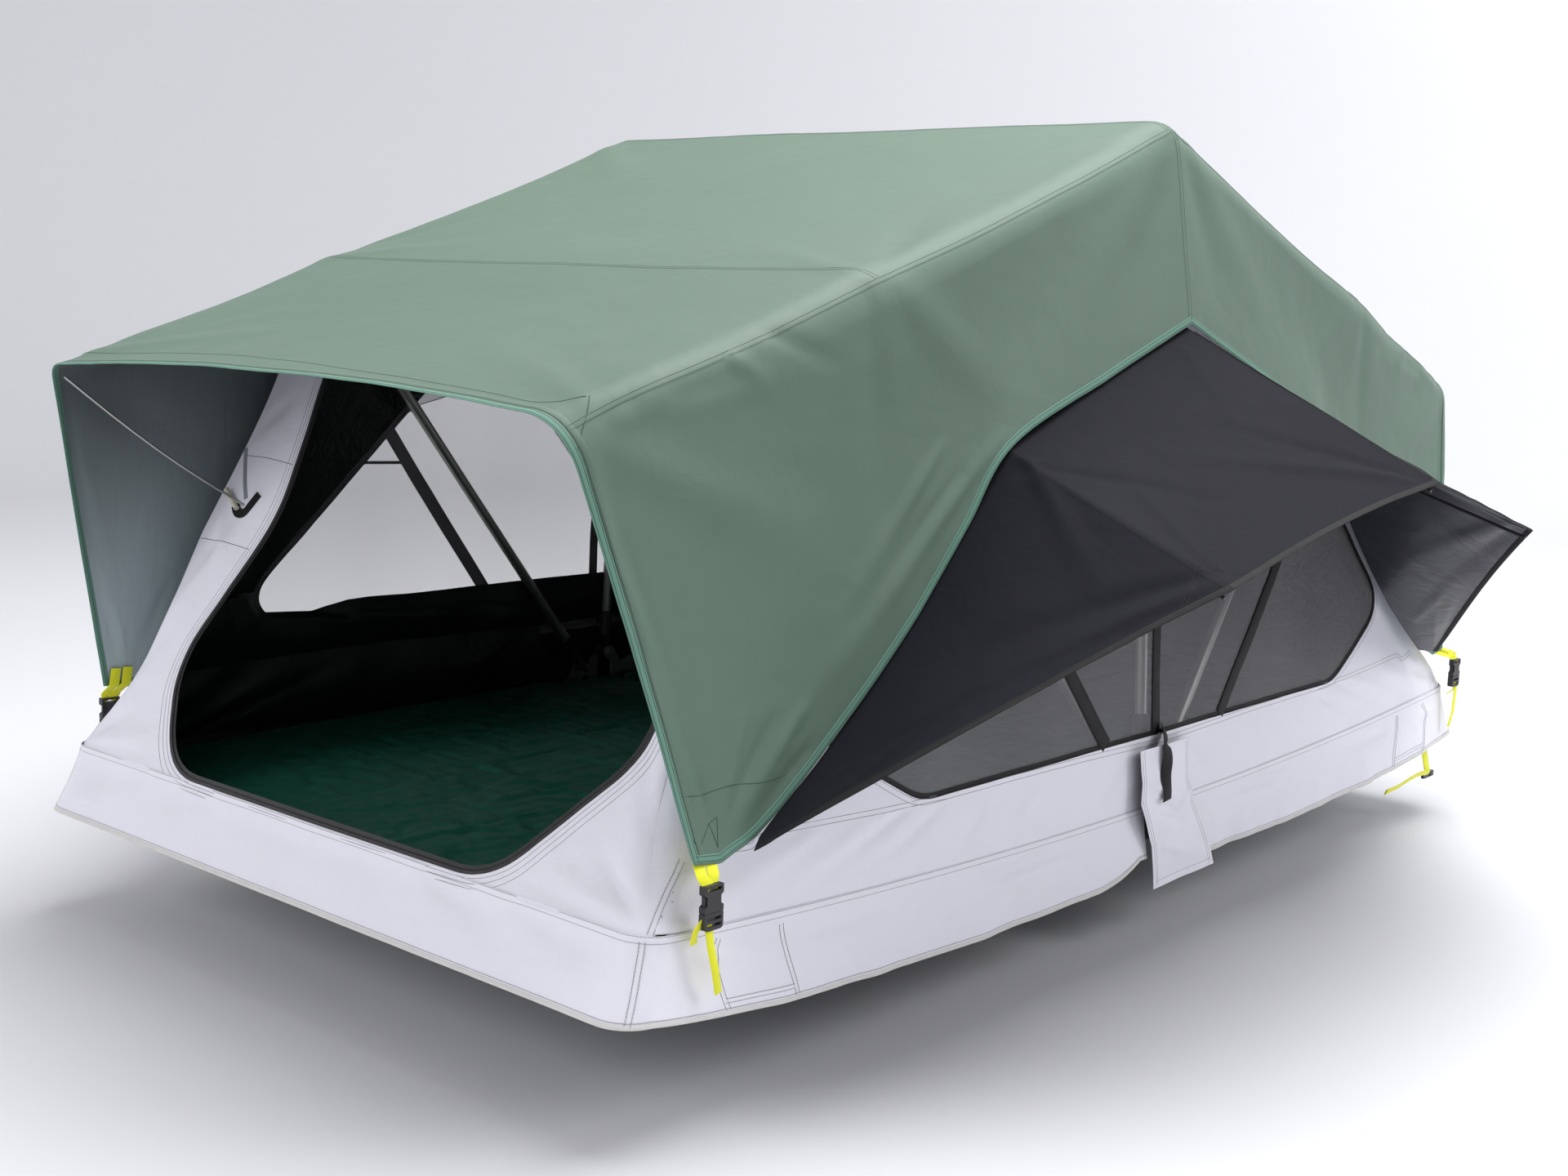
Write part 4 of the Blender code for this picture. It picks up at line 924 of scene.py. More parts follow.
def canopy_side(side, end):
    """A quarter of the inner tent's side: v up from the seam, u from the middle (0) to the end column (1)."""
    def base(v, u):
        v, u = np.broadcast_arrays(np.asarray(v, float), np.asarray(u, float))
        column, rise = column_at(v), np.clip(v, 0, 1)
        middle = CANOPY_FOOT[2] + (CANOPY_TOP[2] - CANOPY_FOOT[2]) * v
        x = CANOPY_FOOT[0] - 0.0545 * rise ** 1.5
        sag = 0.014 * rise * np.sin(math.pi * np.clip(u, 0, 1))
        return np.stack([side * (x + (column[..., 0] - x) * np.abs(u) ** 6), end * column[..., 1] * u,
                         middle + (column[..., 2] - middle) * u - sag], axis=-1)
    return base


SIDE_BASE = canopy_side(1, 1)


def side_place(y, z):
    """The side's own coordinates at places (y, z) of its quarter, found by halving."""
    low, high = np.full(np.shape(y), -0.02), np.full(np.shape(y), 1.0)
    for _ in range(22):
        v = (low + high) / 2
        u = np.clip(y / column_at(v)[..., 1], -0.02, 1.0)
        above = SIDE_BASE(v, u)[..., 2] > z
        low, high = np.where(above, low, v), np.where(above, v, high)
    return v, np.clip(y / column_at(v)[..., 1], -0.02, 1.0)


SIDE_FOLDS = folds(
    (687, 660, 245, 688, 900, 170, 12, -5), (688, 590, 228, 687, 780, 160, 12, -4.5),
    (687, 490, 205, 688, 560, 150, 12, -3.5), (687, 720, 240, 688, 970, 172, 16, 4),
    (687, 860, 245, 688, 1080, 180, 16, 4), (688, 340, 215, 687, 440, 140, 14, 3),
    (686, 1170, 180, 660, 1020, 300, 14, 4.5), (686, 1170, 175, 680, 980, 240, 12, -4),
    (630, 900, 620, 640, 1060, 380, 20, 4), (630, 940, 520, 660, 960, 300, 16, -3.5),
    (688, 100, 210, 688, 200, 130, 14, -3), (620, 800, 800, 620, 920, 550, 16, -3),
)


def side_relief(p):
    """Slack and tension folds of the inner tent's lower sides."""
    height = uneven(p, 6, (0.0026, 0.20), (0.0011, 0.07), (0.0004, 0.025)) + folded(p, SIDE_FOLDS, 0)
    rise = p[..., 2] - CANOPY_FOOT[2] + sag(p)[0]
    return height * np.clip(edge_gap(p, 1) / 0.04, 0, 1) * np.clip(rise / 0.03, 0, 1)


def sag(p):
    """How far the seam above the skirt and the skirt's hem hang below their height at the corners."""
    reach = np.clip(np.abs(p[..., 1]) / 1.19, 0, 1)
    sideways = np.clip((np.abs(p[..., 0]) - 0.60) / 0.075, 0, 1) ** 2
    lifted = np.clip(1 - (np.abs(p[..., 1]) - 0.055) / 0.13, 0, 1) ** 2
    return 0.046 * sideways * (1 - reach ** 2), sideways * (0.053 * (1 - reach ** 4) - 0.030 * lifted)


def drooped(p, fixed=None):
    """The lower cloth of the sides let down by its sag, but not above the windows or at a fixed band."""
    z = p[..., 2]
    seam, hem = sag(p)
    drop = seam + (hem - seam) * np.clip((0.160 - z) / 0.095, 0, 1)
    if fixed is not None:
        drop = seam * np.clip((z - fixed) / (0.160 - fixed), 0, 1)
    return p - (drop * np.clip((0.240 - z) / 0.072, 0, 1))[..., None] * [0, 0, 1]


def side_sheet(side, end):
    """A quarter of the inner tent's side, by its places (y, z) on the quarter at +Y."""
    quarter = canopy_side(side, end)
    centre = (0.0, 0.2 * end, 0.5)
    return Surface(lambda y, z: eased(drooped(quarter(*side_place(y, z))), 1), side_relief, centre)


TOP_OF_SIDE = 0.93
WINDOW_CENTRE = (0.0, 0.50)


def side_border():
    """Outline of the inner tent's quarter side in (y, z), with its mirror image."""
    bottom = np.stack([np.linspace(0, COLUMN[0][1], 40), np.full(40, CANOPY_FOOT[2])], axis=1)
    column = column_at(np.linspace(0, TOP_OF_SIDE, 40))[:, 1:]
    top = SIDE_BASE(np.full(40, TOP_OF_SIDE), np.linspace(1, 0, 40))[:, 1:]
    half = np.concatenate([bottom, column, top])
    return np.concatenate([half, half[::-1] * [-1, 1]])


def window_grid(rows):
    """Places (y, z) of the half side from its window's edge out to its border."""
    hole = rounded_outline(WINDOW, 500)
    angles = polar(hole, WINDOW_CENTRE)[0]
    top = column_at(TOP_OF_SIDE)
    corners = np.arctan2(np.array([CANOPY_FOOT[2], top[2]]) - WINDOW_CENTRE[1], [COLUMN[0][1], top[1]])
    angles = np.sort(np.concatenate([[-math.pi / 2, math.pi / 2], corners, angles[np.abs(angles) < 1.56]]))
    return around_hole(hole, side_border(), WINDOW_CENTRE, angles, rows)


def canopy_roof(end):
    """Cross-sections of the inner tent's roof half, from one side's top over to the other."""
    rows = []
    for u in np.linspace(0, 1, 34):
        edge, below = SIDE_BASE(1.0, u), SIDE_BASE(TOP_OF_SIDE - 0.01, u)
        half = [(edge[0] * k, edge[2] - 0.004 * (1 - k)) for k in (0.0, 0.2, 0.45, 0.7, 0.85)]
        half += [(edge[0] - 0.035, edge[2] - 0.0005), (edge[0] - 0.012, edge[2] - 0.008),
                 (edge[0] - 0.001, edge[2] - 0.030), (below[0] + 0.001, below[2])]
        half = line_through(half, 44)
        full = np.concatenate([half[:0:-1] * [-1, 1], half])
        rows.append(np.stack([full[:, 0], np.full(len(full), end * edge[1]), full[:, 1]], axis=1))
    return np.array(rows)


def grid_normals(points, centre):
    """Directions out of a grid of points, away from a centre."""
    n = unit(np.cross(np.gradient(points, axis=0), np.gradient(points, axis=1)))
    return n * np.sign(np.sum(n * (points - centre), axis=-1, keepdims=True) + 1e-12)


class TENT_OT_inner_tent(Operator):
    """Sew the inner tent's sides and roof, white outside with a dark lining."""
    bl_idname = "tent.inner_tent"
    bl_label = "Inner tent"

    def execute(self, context):
        flat = window_grid(26)
        for end in (-1, 1):
            shape, area = Shape(), 0.0
            for side in (-1, 1):
                sheet = side_sheet(side, end)
                area += shape.cover(sheet, flat[..., 0], flat[..., 1], sizes().cloth, flat * [end, 1])
            roof = canopy_roof(end)
            shape.sheet(roof, grid_normals(roof, (0, end * 0.4, 0.5)), sizes().cloth)
            area += grid_area(roof)
            piece = shape.build(f"inner_tent_{END[end]}", (white, lining), BODY[end], "white_cloth",
                                ("inner_canopy",))
        return {"FINISHED"}


WALL_FOLDS = folds(
    (680, 1186, 172, 540, 1143, 255, 10, -6), (675, 1186, 172, 460, 1163, 216, 10, 5.5),
    (680, 1186, 178, 600, 1120, 300, 12, 6), (670, 1186, 172, 380, 1175, 190, 8, -4.5),
    (660, 1170, 200, 560, 1060, 390, 14, -5), (640, 1140, 250, 550, 1000, 500, 18, 5),
    (600, 1050, 410, 500, 930, 630, 16, -4.5), (600, 960, 580, 500, 1030, 460, 14, 5.5),
    (590, 900, 680, 500, 860, 760, 14, -4), (620, 760, 950, 480, 870, 740, 20, 4),
    (300, 1180, 175, 100, 1186, 180, 10, 3.5),
)


def wall_sheet(end):
    """An end wall by its places (x, z)."""
    steps = np.linspace(0, 1, 200)
    heights = column_at(steps)

    def base(x, z):
        x, z = np.broadcast_arrays(np.asarray(x, float), np.asarray(z, float))
        return eased(np.stack([x, end * np.interp(z, heights[:, 2], heights[:, 1]), z], axis=-1), 0)

    def relief(p):
        height = uneven(p, 9, (0.0028, 0.22), (0.0013, 0.07), (0.0004, 0.025)) + folded(p, WALL_FOLDS, 1)
        rise = p[..., 2] - CANOPY_FOOT[2]
        return height * np.clip(edge_gap(p, 0) / 0.04, 0, 1) * np.clip(rise / 0.05, 0, 1)
    return Surface(base, relief, (0.0, 0.5 * end, 0.5))


def wall_border():
    """Outline of an end wall in (x, z)."""
    column = column_at(np.linspace(0, 0.985, 60))[:, [0, 2]]
    bottom = np.stack([np.linspace(0, column[0, 0], 30)[:-1], np.full(29, column[0, 1])], axis=1)
    top = np.stack([np.linspace(column[-1, 0], 0, 30)[1:], np.full(29, column[-1, 1])], axis=1)
    half = np.concatenate([bottom, column, top])
    return np.concatenate([half, half[::-1] * [-1, 1]])


DOOR_CENTRE = (0.0, 0.50)


def door_line(distance):
    """A closed line round the doorway, a distance outside its edge."""
    angle, reach = polar(rounded_outline(DOOR, 600), DOOR_CENTRE)
    at = np.linspace(-math.pi, math.pi, 1500, endpoint=False)
    reach = np.interp(at, angle, reach, period=math.tau) + distance
    ring = np.stack([DOOR_CENTRE[0] + reach * np.cos(at), DOOR_CENTRE[1] + reach * np.sin(at)], axis=1)
    return line_through(np.concatenate([ring, ring[:1]]), 301)[:-1].T


class TENT_OT_end_walls(Operator):
    """Sew the end walls: a doorway at the front, closed at the rear."""
    bl_idname = "tent.end_walls"
    bl_label = "End walls"

    def execute(self, context):
        hole = rounded_outline(DOOR, 460)
        corner = math.atan2(CANOPY_FOOT[2] - DOOR_CENTRE[1], COLUMN[0][0])
        angles = np.sort([*polar(hole, DOOR_CENTRE)[0], corner, -math.pi - corner])
        flat = around_hole(hole, wall_border(), DOOR_CENTRE, angles, 26)
        uv = np.concatenate([flat, flat[:, :1]], axis=1)
        shape = Shape()
        area = shape.cover(wall_sheet(-1), flat[..., 0], flat[..., 1], sizes().cloth, uv, ring=True)
        front = shape.build("front_wall_cloth", (white, lining), "front_base", "white_cloth", ("front_wall",))
        column = column_at(np.linspace(0, 0.985, 60))
        z = np.interp(np.linspace(0, 1, 80), np.linspace(0, 1, 60), column[:, 2])
        x = np.interp(z, column[:, 2], column[:, 0])[:, None] * np.linspace(-1, 1, 110)
        z = np.broadcast_to(z[:, None], x.shape)
        shape = Shape()
        area = shape.cover(wall_sheet(1), x, z, sizes().cloth, np.stack([x, z], axis=-1))
        rear = shape.build("rear_wall_cloth", (white, lining), "rear_base", "white_cloth", ("rear_wall",))
        return {"FINISHED"}


class TENT_OT_door(Operator):
    """Fit the door's zip and stitching, and roll its panel up under the roof."""
    bl_idname = "tent.door"
    bl_label = "Door"

    def execute(self, context):
        sheet, trim = wall_sheet(-1), Trim()
        trim.tape(sheet, *door_line(0.002), sizes().zip * 0.45, 0, thick=0.0018, closed=True)
        trim.tape(sheet, *door_line(0.000), sizes().zip, 0, thick=0.0016, inside=True, closed=True)
        for distance in (0.0115, 0.0195, 0.0285):
            trim.line(sheet, *door_line(distance), closed=True)
        trim.build("door_zip", (zip_teeth, white_thread), "front_base", "black_plastic")
        self.roll()
        self.fittings(sheet)
        return {"FINISHED"}

    def fittings(self, sheet):
        """Two stitch lines on each column, and the tape, loop and ferrule that hold the awning's rod."""
        trim = Trim()
        for side in (-1, 1):
            turn = (side, 1)
            for knots in (((0.5841, 0.6488), (0.5119, 0.6496), (0.4383, 0.6452)),
                          ((0.5979, 0.5099), (0.5273, 0.5108), (0.4521, 0.5073))):
                trim.line(sheet, *curve(knots, 24, turn), mark=0)
            trim.tape(sheet, *curve(((0.585, 0.660), (0.560, 0.625), (0.524, 0.582)), 16, turn), 0.009, 1)
            loop = ((0.492, 0.592), (0.502, 0.574), (0.512, 0.560), (0.532, 0.560), (0.543, 0.569))
            trim.tape(sheet, *curve(loop, 24, turn), 0.017, 0, thick=0.0030)
            x, z = line_through(((0.575, 0.589), (0.528, 0.564)), 8).T
            trim.sweep(*sheet.both(side * x, z), round_section(0.0045, 0.008, 10), 2)
        trim.build("column_fittings", (black_webbing, grey_tape, cream_nylon), "front_base", "black_plastic")

    def roll(self):
        """The door panel rolled up and tied with two webbing loops."""
        x = np.linspace(-0.44, 0.44, 90)
        path = np.stack([x, np.full_like(x, -0.750), 0.880 - 0.012 * np.cos(x * 7)], axis=1)
        turns = np.linspace(0, 5.2 * math.tau, 150)
        radius = 0.006 + 0.0155 * turns / turns[-1]
        ring = np.stack([radius * np.cos(turns), radius * np.sin(turns)], axis=1)
        pinch = 1 - 0.22 * (np.exp(-((x + 0.24) / 0.03) ** 2) + np.exp(-((x - 0.24) / 0.03) ** 2))
        wrinkle = 1 + 0.05 * soft_noise(np.stack([x, 0 * x, 0 * x], axis=1), 0.05, 12)
        scale = (pinch * wrinkle)[:, None, None]
        points = path[:, None] + scale * np.stack([0 * ring[:, 0], ring[:, 0], ring[:, 1]], axis=1)[None]
        shape = Shape()
        shape.sheet(points, unit(points - path[:, None]), 0.0009)
        for place in (-0.24, 0.24):
            k = np.argmin(np.abs(x - place))
            angle = np.linspace(0, math.tau, 33)[:-1]
            loop = path[k] + 0.0195 * np.stack([0 * angle, np.cos(angle), np.sin(angle)], axis=1)
            shape.sweep(loop, unit(loop - path[k]), flat_section(0.020, -0.0006, 0.0010), 2, closed=True)
        shape.build("rolled_door", (white, lining, black_webbing), "front_base", "white_cloth",
                    ("door_roll",))


def net_grid():
    """Places (y, z) of a net's half, overlapping the window's edge a little."""
    outline = rounded_outline(WINDOW, 800)
    right = outline[outline[:, 0] > -0.02]
    middle = right[np.argmax(right[:, 0]), 1]
    lower, upper = right[right[:, 1] <= middle], right[right[:, 1] > middle]
    y = 0.888 * np.sin(np.linspace(0, 1, 70) * math.pi / 2)
    low = np.interp(y, *lower[np.argsort(lower[:, 0])].T) - 0.010
    high = np.interp(y, *upper[np.argsort(upper[:, 0])].T) + 0.010
    z = low + (high - low) * np.linspace(0, 1, 44)[:, None]
    return np.broadcast_to(y, z.shape), z


WINDOW_SEAMS = (
    ((0.577, 0.242), (0.626, 0.245), (0.701, 0.247), (0.943, 0.257), (0.990, 0.246), (1.044, 0.252)),
    ((1.102, 0.246), (1.116, 0.233), (1.150, 0.203), (1.184, 0.171)))


class TENT_OT_windows(Operator):
    """Hang the window nets with their edge tapes and the bands that cross them."""
    bl_idname = "tent.windows"
    bl_label = "Windows"

    def execute(self, context):
        y, z = net_grid()
        for end, side in itertools.product((-1, 1), repeat=2):
            sheet = side_sheet(side, end)
            net, normals = sheet.both(y, z)
            net = net - normals * 0.0016
            shape = Shape()
            shape.sheet(net, normals, 0.0005, np.stack([y * end, z], axis=-1), marks=(0, 0))
            piece = shape.build(f"window_net_{END[end]}_{SIDE[side]}", (window_net,), BODY[end], "mesh",
                                (f"window_mesh_{SIDE[side]}",))
            grid_area(net)
            self.trim(sheet, side, end)
        return {"FINISHED"}

    def trim(self, sheet, side, end):
        """Edge tape, stitching and webbing bands of one window half."""
        trim = Trim()
        outline = rounded_outline(WINDOW, 900)
        half = outline[outline[:, 0] >= 0.0015]
        angle = np.arctan2(half[:, 1] - WINDOW_CENTRE[1], half[:, 0])
        order = np.argsort(angle)
        half, angle = half[order], angle[order]
        ray = np.stack([np.cos(angle), np.sin(angle)], axis=1)
        trim.line(sheet, *line_through(half + ray * 0.011, 170).T, (-0.004, 0.004))
        edge = line_through(half + ray * 0.0005, 170).T
        trim.tape(sheet, *edge, 0.0028)
        trim.tape(sheet, *edge, 0.014, thick=0.0014, inside=True)
        lean = {(-1, -1): 0.055, (1, -1): -0.020}.get((side, end), 0.030)
        band = line_through(((0.178 + lean, 0.2495), (0.541 + 0.5 * lean, 0.687)), 40).T
        for inside in (False, True):
            trim.tape(sheet, *band, sizes().band * 1.05, 0, (-0.44, 0.44), 2, 0.0011, inside)
        if end < 0:
            middle = line_through(((0.010, 0.2495), (0.010, 0.802)), 40).T
            trim.tape(sheet, *middle, sizes().band * 0.9, 0, (-0.44, 0.44), 2, 0.0011)
        for knots in WINDOW_SEAMS:
            trim.line(sheet, *curve(knots, 50), (-0.0036, 0.0036))
        foot = line_through(((1.112, 0.1775), (1.150, 0.1785), (1.172, 0.1780)), 24).T
        trim.tape(sheet, *foot, 0.014, 3, thick=0.0009)
        if side < 0:
            cord = line_through(((0.650, 0.6165), (0.515, 0.6100)), 12).T
            trim.tape(sheet, *cord, 0.006, thick=0.0012, inside=True)
        trim.build(f"window_trim_{END[end]}_{SIDE[side]}",
                   (black_webbing, white_thread, charcoal_thread, white), BODY[end], "black_plastic")


COVER_EDGE = ((0.00, 0.353), (0.165, 0.356), (0.345, 0.357), (0.505, 0.358), (0.600, 0.362), (0.653, 0.3616),
              (0.734, 0.349), (0.853, 0.360), (0.882, 0.392), (0.950, 0.395), (1.020, 0.350), (1.140, 0.215))
CLOTH_LINES = folds(
    (660, 1050, 150, 640, 720, 270, 14, 6), (660, 980, 150, 640, 620, 260, 12, -5),
    (660, 1100, 180, 640, 850, 300, 16, 6), (650, 800, 340, 650, 300, 300, 12, 5),
    (650, 450, 330, 650, 100, 290, 12, -4), (650, 220, 250, 650, 450, 160, 14, 5),
    (650, 720, 345, 650, 560, 310, 10, -5),
)


def cover_panel(side, end, top, bottom, stand):
    """A panel of the dropped window cover inside a side: y along it, v from its top line to its bottom."""
    wall = canopy_side(side, end)

    def base(y, v):
        y, v = np.broadcast_arrays(np.asarray(y, float), np.asarray(v, float))
        z = top(y) + (bottom(y) - top(y)) * v
        p = wall(*side_place(y, z))
        inner = stand + 0.010 * np.sin(math.pi * np.clip(v, 0, 1))
        return np.stack([p[..., 0] - side * inner, end * y, z], axis=-1)

    def relief(p):
        return uneven(p, 51, (0.0035, 0.11), (0.0014, 0.035)) + folded(p, CLOTH_LINES, 0)
    return Surface(base, relief, (side * 2.0, 0.0, 0.3))


def cover_edge(y):
    """Height of the dropped cover's upper edge along the side."""
    return np.interp(y, *np.array(COVER_EDGE).T)


def cover_turn(y):
    """Height of the fold at the foot of the cover's outer panel."""
    return 0.257 + 0.030 * np.clip(y - 0.16, 0, 0.5) - 0.35 * np.clip(y - 1.0, 0, None)


class TENT_OT_window_covers(Operator):
    """Drop the dark window covers inside the far side, folded over at the top."""
    bl_idname = "tent.window_covers"
    bl_label = "Window covers"

    def execute(self, context):
        panels = ((0.0, cover_edge, cover_turn, 0.016),
                  (0.170, lambda y: cover_turn(y) + 0.010, lambda y: 0.147 + 0 * y, 0.010))
        for end in (-1, 1):
            shape, area = Shape(), 0.0
            for start, top, bottom, stand in panels:
                places = crossed(np.linspace(start, 1.125, 180), np.linspace(0, 1, 30))
                area += shape.cover(cover_panel(-1, end, top, bottom, stand), *places, 0.0010, marks=(0, 0))
            piece = shape.build(f"window_cover_{END[end]}", (cover_cloth,), BODY[end], "charcoal_cloth")
        return {"FINISHED"}


SKIRT_START = {-1: 0.034, 1: 0.004}
SKIRT_FOLDS = folds(
    (690, 900, 112, 691, 690, 105, 11, -5), (693, 620, 72, 694, 50, 88, 11, -5),
    (691, 500, 100, 692, 200, 104, 12, 4), (690, 1120, 130, 692, 930, 100, 12, 4),
    (250, 1193, 162, 460, 1206, 125, 9, -5.5), (430, 1193, 162, 690, 1206, 126, 9, -5.5),
    (0, 1200, 136, 230, 1196, 148, 9, -4.5), (560, 1215, 110, 650, 1230, 75, 14, 5),
)


def skirt_ring(levels, t, start):
    """Places on the skirt's plan: t 0 at the hinge line on the right, 1 on the left, round the end."""
    half, length, height, radius = np.moveaxis(levels, -1, 0)
    side, bend, front = length - radius - start, radius * math.pi / 2, 2 * (half - radius)
    total = 2 * side + 2 * bend + front
    go = np.clip(t, 0, 1) * total
    mirror = go > total / 2
    go = np.where(mirror, total - go, go)
    turn = np.clip((go - side) / bend, 0, 1) * math.pi / 2
    x = half - radius + radius * np.cos(turn) - np.clip(go - side - bend, 0, None)
    y = start + np.clip(go, 0, side) + radius * np.sin(turn)
    return np.stack([np.where(mirror, -x, x), y, height], axis=-1)


def skirt_sheet(end, levels):
    """The skirt's hanging flap, or its inner band: t round the base, d down from the seam."""
    fixed = levels[0][2] if levels[0][2] < 0.12 else None

    def base(t, d):
        t, d = np.broadcast_arrays(np.asarray(t, float), np.asarray(d, float))
        return drooped(skirt_ring(smooth_curve(levels, d), t, SKIRT_START[end]) * [1, end, 1], fixed)

    def relief(p):
        fall = np.clip((0.161 - sag(p)[0] - p[..., 2]) / 0.10, 0, 1) ** 1.2
        drape = 0.0075 * soft_noise(p * [1, 1, 0.2], 0.13, 14) + 0.0010 * soft_noise(p, 0.022, 16)
        drape = drape + 0.0026 * soft_noise(p * [1, 1, 0.3], 0.05, 15)
        height = fall * drape * np.clip(np.abs(p[..., 1]) / 0.30, 0.3, 1)
        return height + folded(p, SKIRT_FOLDS)
    return Surface(base, relief, (0.0, 0.55 * end, 0.12))


def skirt_line(end, knots, mirror):
    """A line down the skirt's side, through places given as (distance from the hinge line, d)."""
    go, d = curve(knots, 24)
    half, length, height, radius = smooth_curve(SKIRT_LEVELS[2:], d).T
    total = 2 * (length - radius - SKIRT_START[end]) + radius * math.pi + 2 * (half - radius)
    t = (go - SKIRT_START[end]) / total
    return (1 - t if mirror else t), d


SKIRT_SEAMS = (((1.188, 0.10), (1.1903, 0.25), (1.1967, 0.50), (1.2141, 0.75), (1.2230, 0.97)),
               ((1.065, 0.22), (1.074, 0.50), (1.058, 0.78), (1.051, 0.95)),
               ((0.945, 0.22), (0.942, 0.50), (0.925, 0.75), (0.919, 0.93)))


class TENT_OT_skirts(Operator):
    """Hang the white skirts over the frame, with their welts, bindings and stitching."""
    bl_idname = "tent.skirts"
    bl_label = "Skirts"

    def execute(self, context):
        for end in (-1, 1):
            flap, band = skirt_sheet(end, SKIRT_LEVELS[2:]), skirt_sheet(end, SKIRT_LEVELS[:3])
            shape = Shape()
            places = crossed(np.linspace(0, 1, 560), np.linspace(0, 1, 24))
            area = shape.cover(flap, *places, sizes().cloth * 1.3)
            places = crossed(np.linspace(0, 1, 200), np.linspace(0, 1, 6))
            area += shape.cover(band, *places, sizes().cloth)
            piece = shape.build(f"skirt_{END[end]}", (white, lining), BODY[end], "white_cloth",
                                (f"{END[end]}_skirt",), soft=False)
            self.trim(flap, end)
        return {"FINISHED"}

    def trim(self, flap, end):
        """Welt round the top, binding round the hem, and the stitched corner patches."""
        trim = Trim()
        t = np.linspace(0, 1, 560)
        trim.tape(flap, t, 0.07, 0.011, 0, (-0.38, 0.38), thick=0.0007)
        trim.tape(flap, t, 0.980, 0.0068, 2, thick=0.0013)
        trim.line(flap, t, 0.900, lift=0.0009)
        for mirror in (False, True):
            for knots in SKIRT_SEAMS:
                trim.line(flap, *skirt_line(end, knots, mirror), (-0.0038, 0.0038), lift=0.0008)
            patch = skirt_line(end, ((1.056, 0.80), (0.926, 0.80)), mirror)
            trim.tape(flap, *patch, 0.0065, 0, (-0.42, 0.42))
        trim.build(f"skirt_trim_{END[end]}", (white, white_thread, white_binding), BODY[end], "white_cloth",
                   soft=False)


def awning_sheet(side, end):
    """Half of a side awning: q from its foot (0) over the end rod (1) to the middle rod (2), s outwards."""
    def base(q, s):
        q, s = np.broadcast_arrays(np.asarray(q, float), np.asarray(s, float))
        low, high = smooth_curve(FLY_HEM[1:6], q), smooth_curve(FLY_HEM[5:], q - 1)
        root = np.where((q < 1)[..., None], low, high) - [0.002, 0, 0.007]
        edge = straight((AWNING_FOOT, TIP_END, TIP_MIDDLE), q / 2)
        slack = np.abs(np.sin(math.pi * np.clip(q, 0, 2)))[..., None]
        reach = s[..., None] * (1 - 0.028 * slack * np.clip(s, 0, 1)[..., None])
        p = root + (edge - root) * reach
        p = p - 0.010 * np.sin(math.pi * np.clip(s, 0, 1))[..., None] * slack * [0, 0, 1]
        return p * [side, end, 1]

    def relief(p):
        return uneven(p, 21, (0.0018, 0.17), (0.0007, 0.06)) + folded(p, AWNING_FOLDS, 2)
    return Surface(base, relief, (side * 0.75, 0.0, 0.2))


AWNING_FOLDS = folds(
    (1065, 515, 595, 740, 860, 400, 14, 4.6), (1060, 510, 598, 760, 740, 500, 16, -4),
    (1060, 505, 600, 760, 360, 780, 14, 4.2), (1070, 500, 598, 800, 200, 830, 18, -3.6),
    (1110, 30, 705, 800, 340, 740, 16, 4.4), (1110, 20, 708, 780, 220, 830, 14, -3.6),
    (730, 1020, 272, 920, 700, 470, 12, 4.2), (730, 1000, 285, 840, 720, 450, 10, -3.4),
    (715, 510, 725, 1000, 300, 660, 14, -4.2), (715, 50, 900, 960, 200, 790, 16, 3.6),
    (720, 480, 740, 960, 600, 580, 14, 3.6), (725, 900, 350, 980, 600, 530, 12, -3.2),
)


class TENT_OT_side_awnings(Operator):
    """Hang the charcoal side awnings with their bindings and rod pockets."""
    bl_idname = "tent.side_awnings"
    bl_label = "Side awnings"

    def execute(self, context):
        for side, end in itertools.product((-1, 1), repeat=2):
            sheet = awning_sheet(side, end)
            shape = Shape()
            places = crossed(np.linspace(0, 2, 181), np.linspace(-0.03, 1, 64))
            area = shape.cover(sheet, *places, sizes().cloth)
            where = f"{END[end]}_{SIDE[side]}"
            piece = shape.build(f"awning_{where}", (charcoal, charcoal_below), BODY[end], "charcoal_cloth",
                                (f"side_awning_{SIDE[side]}",))
            self.trim(sheet, where, end)
        return {"FINISHED"}

    def trim(self, sheet, where, end):
        """Edge binding, pockets over the rods and patches at their tips."""
        trim = Trim()
        q = np.linspace(0.004, 2, 160)
        s = inward(sheet, q, 1, 0, -1, 0.005)[1]
        for inside in (False, True):
            trim.tape(sheet, q, s, 0.010, 0, (-0.2,), inside=inside)
        s = np.linspace(0.02, 0.97, 60)
        for way in (-1, 1):
            trim.line(sheet, inward(sheet, 1, s, way, 0, 0.0065)[0], s)
        trim.line(sheet, 1.993, s, (-0.003, 0.003))
        path, normals = sheet.both(1, s)
        trim.sweep(path, -normals, flat_section(0.014, 0.0042, 0.0056), 3)
        t = np.linspace(0, 1, 24)
        for reach in (0.085, 0.097):
            for centre, way in ((1.0, -1), (1.0, 1), (2.0, -1)):
                trim.line(sheet, centre + way * reach * 1.1 * t, 0.98 - reach * (1 - t) * 1.4)
        trim.build(f"awning_trim_{where}", (charcoal_binding, charcoal_thread, charcoal, charcoal_below),
                   BODY[end], "charcoal_cloth")


